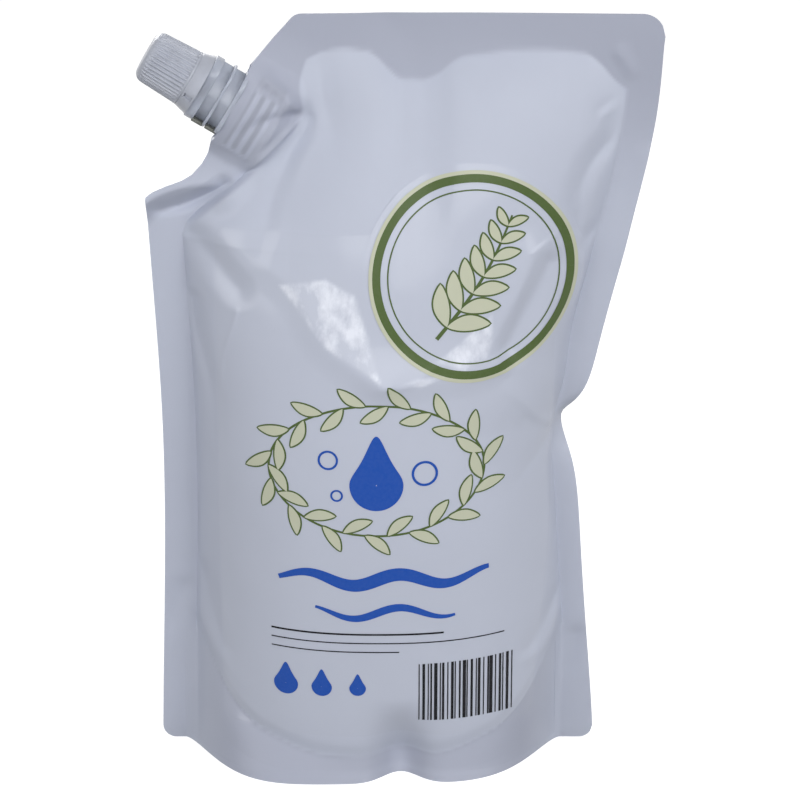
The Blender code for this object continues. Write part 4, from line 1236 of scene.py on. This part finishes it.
@dataclass
class Turned:
    """Helper for pieces on the spout's axis, built upright and then laid on it."""

    form: FilmForm
    thread_steps: int = 90
    thread_points: int = 10
    thread_runout: int = 6
    thread_round: float = 1.3
    thread_root: float = 0.15 * MM
    thread_half: float = 0.9 * MM

    def place(self, grid: np.ndarray) -> np.ndarray:
        """Carry upright points to the spout: across for x, y as it is, out for z."""
        form = self.form
        return (form.anchor + grid[..., :1] * form.across
                + grid[..., 1:2] * np.array((0.0, 1.0, 0.0)) + grid[..., 2:] * form.out)

    def revolve(self, profile: np.ndarray, turns: int = 120) -> np.ndarray:
        """Surface of revolution of a (radius, height) profile."""
        return self.place(spun(profile[:, 0][None, :], profile[:, 1][None, :], full_turn(turns)))

    def plate(self, width: float, depth: float, radius: float, low: float, high: float,
              edge: float, middle: tuple = (0.0, 0.0)) -> np.ndarray:
        """Flat plate with a rounded outline and softened rims.

        Args:
            width: Size across the spout.
            depth: Size from front to back.
            radius: Corner radius of its outline.
            low: Height of its lower face.
            high: Height of its upper face.
            edge: Softening of its rims.
            middle: Centre of its outline.

        Returns:
            A closed grid whose columns run round the outline.
        """
        angle = full_turn(OUTLINE_STEPS)
        steps = ((1.0, low), (edge, low), (0.3 * edge, low + 0.3 * edge), (0.0, low + edge),
                 (0.0, high - edge), (0.3 * edge, high - 0.3 * edge), (edge, high), (1.0, high))
        inset = np.array([0.0 if k in (0, 7) else step[0] for k, step in enumerate(steps)])[None, :]
        shrink = np.array([0.0 if k in (0, 7) else 1.0 for k in range(8)])[None, :]
        round_x, round_y = np.cos(angle), np.sin(angle)
        hold = max(radius, edge * 1.01)
        x = np.sign(round_x) * (width / 2 - hold) + round_x * (hold - inset)
        y = np.sign(round_y) * (depth / 2 - hold) + round_y * (hold - inset)
        z = np.array([step[1] for step in steps])[None, :]
        points = np.broadcast_arrays(middle[0] + x * shrink, middle[1] + y * shrink, z)
        return self.place(np.stack(points, -1))

    def thread(self, radius: float, height: float, low: float, lead: float,
               turns: float) -> np.ndarray:
        """Rounded ridge carried along a helix, running out into the wall at both ends."""
        t = np.linspace(0.0, 1.0, int(self.thread_steps * turns))[:, None]
        angle = 2 * np.pi * turns * t
        run = np.clip(np.minimum(t, 1.0 - t) * turns * self.thread_runout, 0.0, 1.0)
        across = np.linspace(0.0, 2 * np.pi, self.thread_points)[None, :]
        ridge = (radius + height * run * np.sin(across / 2) ** self.thread_round
                 - self.thread_root)
        rise = low + lead * turns * t - self.thread_half * np.cos(across / 2)
        return self.place(spun(ridge, rise, angle))


@dataclass
class Spout(Turned):
    """The see-through spout: weld base, neck, guide flanges, webs and threaded neck."""

    bore: float = 5.0 * MM
    neck: float = 6.2 * MM
    flange_start: float = 0.5 * MM
    flange_depth: float = 15 * MM
    flange_thickness: tuple = (2.1 * MM, 1.5 * MM, 3.2 * MM)
    flange_space: float = 3.8 * MM
    block_width: float = 23.0 * MM
    block_depth: float = 13.9 * MM
    block_power: float = 1.45
    flange_shown: tuple = (24.4 * MM, 24.2 * MM, 23.6 * MM)
    flange_shift: tuple = ((1.1 * MM, 0.6 * MM), (0.5 * MM, 0.0), (0.0, 0.0))
    flange_corner: float = 6.6 * MM
    flange_rim: float = 0.3 * MM
    block_sink: float = 0.5 * MM
    closing: float = 0.55
    boat_draw: float = 0.22 * MM
    boat_rim: float = 0.4 * MM
    boat_half: float = 6.0 * MM
    boat_power: float = 1.8
    # Size of the dark plates that paint the shade in the webs' open ends.
    shade_plate_size: tuple = (1.5 * MM, 9.5 * MM)
    gap_inset: float = 1.4 * MM
    gap_corner: float = 0.7 * MM
    gap_overlap: float = 0.2 * MM
    gap_rim: float = 0.1 * MM
    sharp: float = 35.0
    thread_neck: float = 7.4 * MM
    bead: float = 8.6 * MM
    bead_height: float = 1.2 * MM
    gap: float = 0.3 * MM
    ring_height: float = 3.9 * MM
    cap_height: float = 17 * MM
    cap_top: float = 1.3 * MM
    liner: float = 1.0 * MM
    lead: float = 4.0 * MM
    thread_height: float = 0.6 * MM
    thread_drop: float = 11 * MM
    thread_turns: float = 2.2

    @property
    def levels(self) -> list:
        """Lower and upper height of each guide flange."""
        low, levels = self.flange_start, []
        for thickness in self.flange_thickness:
            levels.append((low, low + thickness))
            low += thickness + self.flange_space
        return levels

    @property
    def ring_bottom(self) -> float:
        """Height of the tamper ring's lower face."""
        return self.levels[-1][1] + self.gap

    @property
    def cap_bottom(self) -> float:
        """Height of the cap's rim."""
        return self.ring_bottom + self.ring_height + self.gap

    @property
    def neck_top(self) -> float:
        """Height of the neck's rim."""
        return self.cap_bottom + self.cap_height - self.cap_top - self.liner - 2 * self.gap

    def neck_profile(self) -> np.ndarray:
        """Closed outline of the neck's wall, from the weld base to the rim and down the bore."""
        bead = self.ring_bottom + self.ring_height / 2
        top, shoulder = self.neck_top, self.levels[-1][0] + 1 * MM
        soft = 0.3 * MM
        end = -(self.form.boat_start + self.form.boat_length) + 0.2 * MM
        return np.array([(self.bore, end), (self.neck, end), (self.neck, shoulder),
                         (self.thread_neck, shoulder), (self.thread_neck, bead),
                         (self.bead - soft, bead), (self.bead, bead + soft),
                         (self.bead, bead + self.bead_height - soft),
                         (self.bead - 2 * soft, bead + self.bead_height),
                         (self.thread_neck, bead + self.bead_height), (self.thread_neck, top - soft),
                         (self.thread_neck - soft, top), (self.bore + soft, top),
                         (self.bore, top - soft), (self.bore, end)])

    def boat(self) -> np.ndarray:
        """Weld base: a lens outline carried along the axis, drawn in between its ribs."""
        form = self.form
        angle = full_turn(OUTLINE_STEPS)
        start, end = -form.boat_start, -(form.boat_start + form.boat_length)
        z = np.linspace(end, start, 60)[None, :]
        wave = np.clip(1.6 * np.cos(2 * np.pi * (-z - form.boat_start) / form.rib_pitch), -1.0, 1.0)
        draw = self.boat_draw * (1.0 - wave)
        closed = np.ones_like(z)
        closed[0, 0] = closed[0, -1] = self.closing
        x = (form.boat_reach - draw) * np.cos(angle) * closed
        half = (self.boat_rim
                + (self.boat_half - draw) * np.abs(np.sin(angle)) ** self.boat_power)
        y = np.sign(np.sin(angle)) * half * closed
        return self.place(np.stack(np.broadcast_arrays(x, y, z), -1))

    def block(self, low: float, high: float) -> np.ndarray:
        """Body between the flanges: a superellipse a little fuller than a rhombus, carried up."""
        angle = full_turn(OUTLINE_STEPS)
        power = 2 / self.block_power
        closed = np.array([self.closing, 1.0, 1.0, self.closing])[None, :]
        x = self.block_width / 2 * np.sign(np.cos(angle)) * np.abs(np.cos(angle)) ** power
        y = self.block_depth / 2 * np.sign(np.sin(angle)) * np.abs(np.sin(angle)) ** power
        z = np.array([low, low, high, high])[None, :]
        return self.place(np.stack(np.broadcast_arrays(x * closed, y * closed, z), -1))

    def build(self, finish: MouldingFinish) -> bpy.types.Object:
        """All parts of the moulding in one piece."""
        grids = [(self.revolve(self.neck_profile()), True), (self.boat(), True)]
        for (low, high), width, shift in zip(self.levels, self.flange_shown, self.flange_shift):
            grids.append((self.plate(width, self.flange_depth, self.flange_corner, low + shift[0],
                                     high + shift[1], self.flange_rim), True))
        grids.append((self.thread(self.thread_neck, self.thread_height,
                                  self.neck_top - self.thread_drop, self.lead,
                                  self.thread_turns), False))
        piece = closed_object("spout_moulding", grids, self.sharp)
        return finish_piece(piece, Body.POUCH,
                            finish.material("see_through_moulding"), ("spout",))

    def hollow(self, finish: MouldingFinish) -> bpy.types.Object:
        """The webbed body between the flanges, darker as light is lost between its webs."""
        grid = self.block(self.levels[0][0] + self.block_sink, self.levels[-1][0] + self.block_sink)
        piece = closed_object("spout_webs", [(grid, True)], self.sharp)
        return finish_piece(piece, Body.POUCH, finish.material("shaded_moulding"))

    def shade_plates(self, finish: MouldingFinish) -> bpy.types.Object:
        """Dark plates at the open lower ends of the webs: painted shade where one looks into them."""
        width, depth = self.shade_plate_size
        place = (-(self.block_width + width) / 2 + self.gap_inset, 0.0)
        grids = [(self.plate(width, depth, self.gap_corner, low - self.gap_overlap,
                             high + self.gap_overlap, self.gap_rim, place), True)
                 for (_, low), (high, _) in zip(self.levels, self.levels[1:])]
        piece = mesh_object("spout_shade_plates", grids)
        outward(piece)
        return finish_piece(piece, Body.POUCH, finish.material("painted_gap_shade"))


@dataclass
class Closure:
    """Ribbed screw cap and the tamper ring below it."""

    spout: Spout
    radius: float = 9.8 * MM
    flare: float = 0.3 * MM
    taper: float = 0.45 * MM
    smooth_band: float = 0.9 * MM
    wall: float = 1.6 * MM
    rounding: float = 3.4 * MM
    ribs: int = 40
    rib_depth: float = 0.65 * MM
    rib_columns: int = 10
    rib_steepness: float = 0.95
    cap_soft: float = 0.12 * MM
    crown: float = 0.12 * MM
    crown_edge: float = 0.6
    cap_sharp: float = 50.0
    ring_soft: float = 0.05 * MM
    ring_sharp: float = 40.0
    ring_turns: int = 300
    ring_radius: float = 10.7 * MM
    ring_slope: float = 0.6 * MM
    ring_gap: float = 0.02 * MM
    ring_wall: float = 1.3 * MM
    window_side: float = 3.6 * MM
    window_half: float = 0.9 * MM
    window_depth: float = 0.9 * MM

    def cap(self, finish: MouldingFinish) -> bpy.types.Object:
        """Cap: a profile turned about the axis, with grooves that die out at the rounded top."""
        spout, soft = self.spout, self.cap_soft
        base, height = spout.cap_bottom, spout.cap_height
        top, inner = base + height, self.radius - self.wall
        quarter = np.linspace(0.0, np.pi / 2, 9)
        band = self.smooth_band
        rows = [(inner, base + soft, 0), (inner + soft, base, 0),
                (self.radius + self.flare - soft, base, 0),
                (self.radius + self.flare, base + soft, 0),
                (self.radius + self.flare, base + band - soft, 0),
                (self.radius + self.flare - soft, base + band, 0.3)]
        run = height - self.rounding - band - soft
        rows += [(self.radius + self.flare * 0.6 - (self.taper + self.flare * 0.6) * s,
                  base + band + soft + run * s, 1) for s in np.linspace(0.03, 0.96, 12)]
        rows += [(self.radius - self.taper - self.rounding * (1 - math.cos(a)),
                  top - self.rounding * (1 - math.sin(a)), max(0.0, 1 - a / 0.9)) for a in quarter]
        edge = self.crown_edge
        rows += [(self.radius * s, top + self.crown * (1 - (s / edge) ** 2) ** 2 * (s < edge), 0)
                 for s in (0.6, 0.57, 0.4, 0.2, 0.0)]
        shape = np.array(rows)
        angle = full_turn(self.ribs * self.rib_columns)
        wave = np.clip(0.5 - self.rib_steepness * np.cos(self.ribs * angle), 0.0, 1.0)
        groove = self.rib_depth * shape[:, 2][None, :] * wave
        radius = np.maximum(shape[:, 0][None, :] - groove, 0.0)
        outer = spun(radius, shape[:, 1][None, :], angle)
        ceiling = top - spout.cap_top
        hollow = np.array([(inner, base + soft), (inner, base + 4 * MM), (inner, ceiling - soft),
                           (inner - soft, ceiling), (0.0, ceiling)])[::-1]
        inside = spun(hollow[:, 0][None, :], hollow[:, 1][None, :], angle)
        grids = [(spout.place(outer), True), (spout.place(inside), True)]
        piece = closed_object("ribbed_cap", grids, self.cap_sharp)
        return finish_piece(piece, Body.CAP, finish.material("white_cap"), ("cap",))

    def tamper_ring(self, finish: MouldingFinish) -> bpy.types.Object:
        """Tamper ring: a slight cone with a small window sunk into its front."""
        spout, soft = self.spout, self.ring_soft
        low, high = spout.levels[-1][1] + self.ring_gap, spout.cap_bottom - self.ring_gap
        inner, outer = self.ring_radius - self.ring_wall, self.ring_radius
        rise = np.linspace(low + soft, high - soft, 16)
        profile = np.array([(inner, low), (outer - soft, low)] + [(outer, h) for h in rise]
                           + [(outer - soft, high), (inner, high), (inner, low)])
        angle = full_turn(self.ring_turns)
        radius, height = profile[:, 0][None, :], profile[:, 1][None, :]
        lean = np.clip((2 * height - low - high) / (high - low), -1.0, 1.0)
        radius = radius - self.ring_slope * lean * (radius > inner + 0.1 * MM)
        beside = np.abs(outer * np.cos(angle) + self.window_side) < self.window_half
        facing = (np.sin(angle) < 0) & beside
        within = ((height > low + self.window_half) & (height < high - self.window_half)
                  & (radius > inner + 0.5 * MM))
        radius = radius - self.window_depth * (facing & within)
        grid = spout.place(spun(radius, height, angle))
        piece = closed_object("tamper_band", [(grid, True)], self.ring_sharp)
        return finish_piece(piece, Body.POUCH, finish.material("white_ring"),
                            ("tamper_ring",))


LAMPS = (
    ("left_box", (-1.2, -1.05, 0.5), 0.9, 0.7, 0.9),
    ("right_box", (1.15, -1.05, 0.6), 1.3, 0.7, 0.9),
    ("front_box", (0.12, -1.15, 0.6), 0.62, 0.7, 0.6),
    ("back_box", (-0.4, 1.5, 0.7), 1.5, 0.9, 0.7),
)


@dataclass
class Studio:
    """Pale floor, soft lights, white surroundings and the camera."""

    elevation: float = math.radians(21.0)
    distance: float = 1.0
    aim: tuple = (8.3 * MM, 0.0, 136.2 * MM)
    lens: float = 124.8
    sensor: float = 36.0
    clip: tuple = (0.05, 20.0)
    floor_rings: tuple = (0.0, 0.3, 1.0, 6.0)
    floor_rough: float = 0.8
    lamp_aim: tuple = (8 * MM, 0.0, 185 * MM)
    lamp_spread: float = math.radians(60.0)
    sky: float = 0.42
    floor_bounce: float = 0.1
    floor_seen: float = 0.5
    floor_glow: float = 0.8

    def camera(self) -> bpy.types.Object:
        """Camera at the photograph's height, looking along +y."""
        data = bpy.data.cameras.new("camera")
        data.lens, data.sensor_width = self.lens, self.sensor
        data.clip_start, data.clip_end = self.clip
        camera = bpy.data.objects.new("camera", data)
        bpy.context.scene.collection.objects.link(camera)
        aim = Vector(self.aim)
        camera.location = aim + self.distance * Vector((0.0, -math.cos(self.elevation),
                                                        math.sin(self.elevation)))
        camera.rotation_euler = (aim - camera.location).to_track_quat("-Z", "Y").to_euler()
        bpy.context.scene.camera = camera
        return camera

    def seen(self, tree: bpy.types.NodeTree) -> bpy.types.NodeSocket:
        """Socket that is 1 for camera, glossy and transmission rays and 0 for all others."""
        path = tree.nodes.new("ShaderNodeLightPath")
        socket = path.outputs["Is Camera Ray"]
        for name in ("Is Glossy Ray", "Is Transmission Ray"):
            either = tree.nodes.new("ShaderNodeMath")
            either.operation = "MAXIMUM"
            tree.links.new(socket, either.inputs[0])
            tree.links.new(path.outputs[name], either.inputs[1])
            socket = either.outputs[0]
        return socket

    def choice(self, tree: bpy.types.NodeTree, hidden: float, shown: float) -> bpy.types.NodeSocket:
        """Value that is shown to camera, mirrors and glass, and hidden from diffuse light."""
        span = tree.nodes.new("ShaderNodeMapRange")
        span.inputs[3].default_value = hidden
        span.inputs[4].default_value = shown
        tree.links.new(self.seen(tree), span.inputs[0])
        return span.outputs[0]

    def world(self) -> None:
        """World that is white to the camera, mirrors and glass, and plain to surfaces."""
        world = bpy.data.worlds.new("surroundings")
        bpy.context.scene.world = world
        world.use_nodes = True
        tree = world.node_tree
        background = tree.nodes["Background"]
        background.inputs["Color"].default_value = WHITE
        tree.links.new(self.choice(tree, self.sky, 1.0), background.inputs["Strength"])

    def lamp(self, name: str, place: tuple, power: float, width: float, depth: float) -> None:
        """Soft rectangular lamp with a grid, aimed at the upper body of the pouch."""
        data = bpy.data.lights.new(name, "AREA")
        data.shape, data.size, data.size_y, data.energy = "RECTANGLE", width, depth, power
        lamp = bpy.data.objects.new(name, data)
        bpy.context.scene.collection.objects.link(lamp)
        data.spread = self.lamp_spread
        lamp.location = place
        line = Vector(self.lamp_aim) - lamp.location
        lamp.rotation_euler = line.to_track_quat("-Z", "Y").to_euler()

    def floor(self) -> bpy.types.Object:
        """Round pale floor, white to the camera away from the soft shadow and greyer to light."""
        angle = full_turn(OUTLINE_STEPS)
        radius = np.array(self.floor_rings)[None, :]
        grid = spun(radius, np.zeros((1, 1)), angle)
        floor = mesh_object("floor", [(grid[::-1], True)])
        nodes = new_material("pale_floor")
        tree = nodes.material.node_tree
        shade = self.choice(tree, self.floor_bounce, self.floor_seen)
        nodes.link(shade, nodes.shader.inputs["Base Color"])
        glow = self.choice(tree, 0.0, self.floor_glow)
        nodes.link(glow, nodes.shader.inputs["Emission Strength"])
        nodes.settle({"Emission Color": WHITE, "Roughness": self.floor_rough,
                      "Specular IOR Level": 0.0})
        floor.data.materials.append(nodes.material)
        return floor

    def build(self) -> None:
        """Set up the whole studio."""
        self.camera()
        self.world()
        self.floor()
        for name, place, power, width, depth in LAMPS:
            self.lamp(name, place, power, width, depth)
        bpy.context.scene.view_settings.view_transform = "Standard"


def dress_liner() -> None:
    """Give the CAD liner a foam finish; it stays as packed."""
    finish = MouldingFinish((0.78, 0.78, 0.77), 0.8, 0.1)
    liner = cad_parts["cap_liner"]
    liner.data.materials.clear()
    liner.data.materials.append(finish.material("liner_foam_disc"))


def main() -> None:
    """Build every sub-assembly in order; each piece logs its face count."""
    logging.basicConfig(level=logging.INFO, format="%(name)s: %(message)s")
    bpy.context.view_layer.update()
    Studio().build()
    form = FilmForm()
    Pouch(form).build(FilmFinish())
    glossy = FilmFinish(gloss=0.35, coat_roughness=0.06)
    Label(form).build(glossy)
    sticker = Sticker(form)
    sticker.build(glossy)
    Print(form, sticker).build()
    spout = Spout(form)
    spout.build(MouldingFinish((0.50, 0.54, 0.64), 0.26, 0.25, 0.1))
    spout.hollow(MouldingFinish((0.43, 0.465, 0.55), 0.3, 0.2, 0.05))
    # Near black plates in the webs' open lower ends: painted shade.
    spout.shade_plates(MouldingFinish((0.13, 0.135, 0.12), 0.3, 0.0))
    white = MouldingFinish((0.46, 0.485, 0.56), 0.3, 0.15)
    closure = Closure(spout)
    closure.tamper_ring(white)
    closure.cap(white)
    dress_liner()


if __name__ == "__main__":
    main()
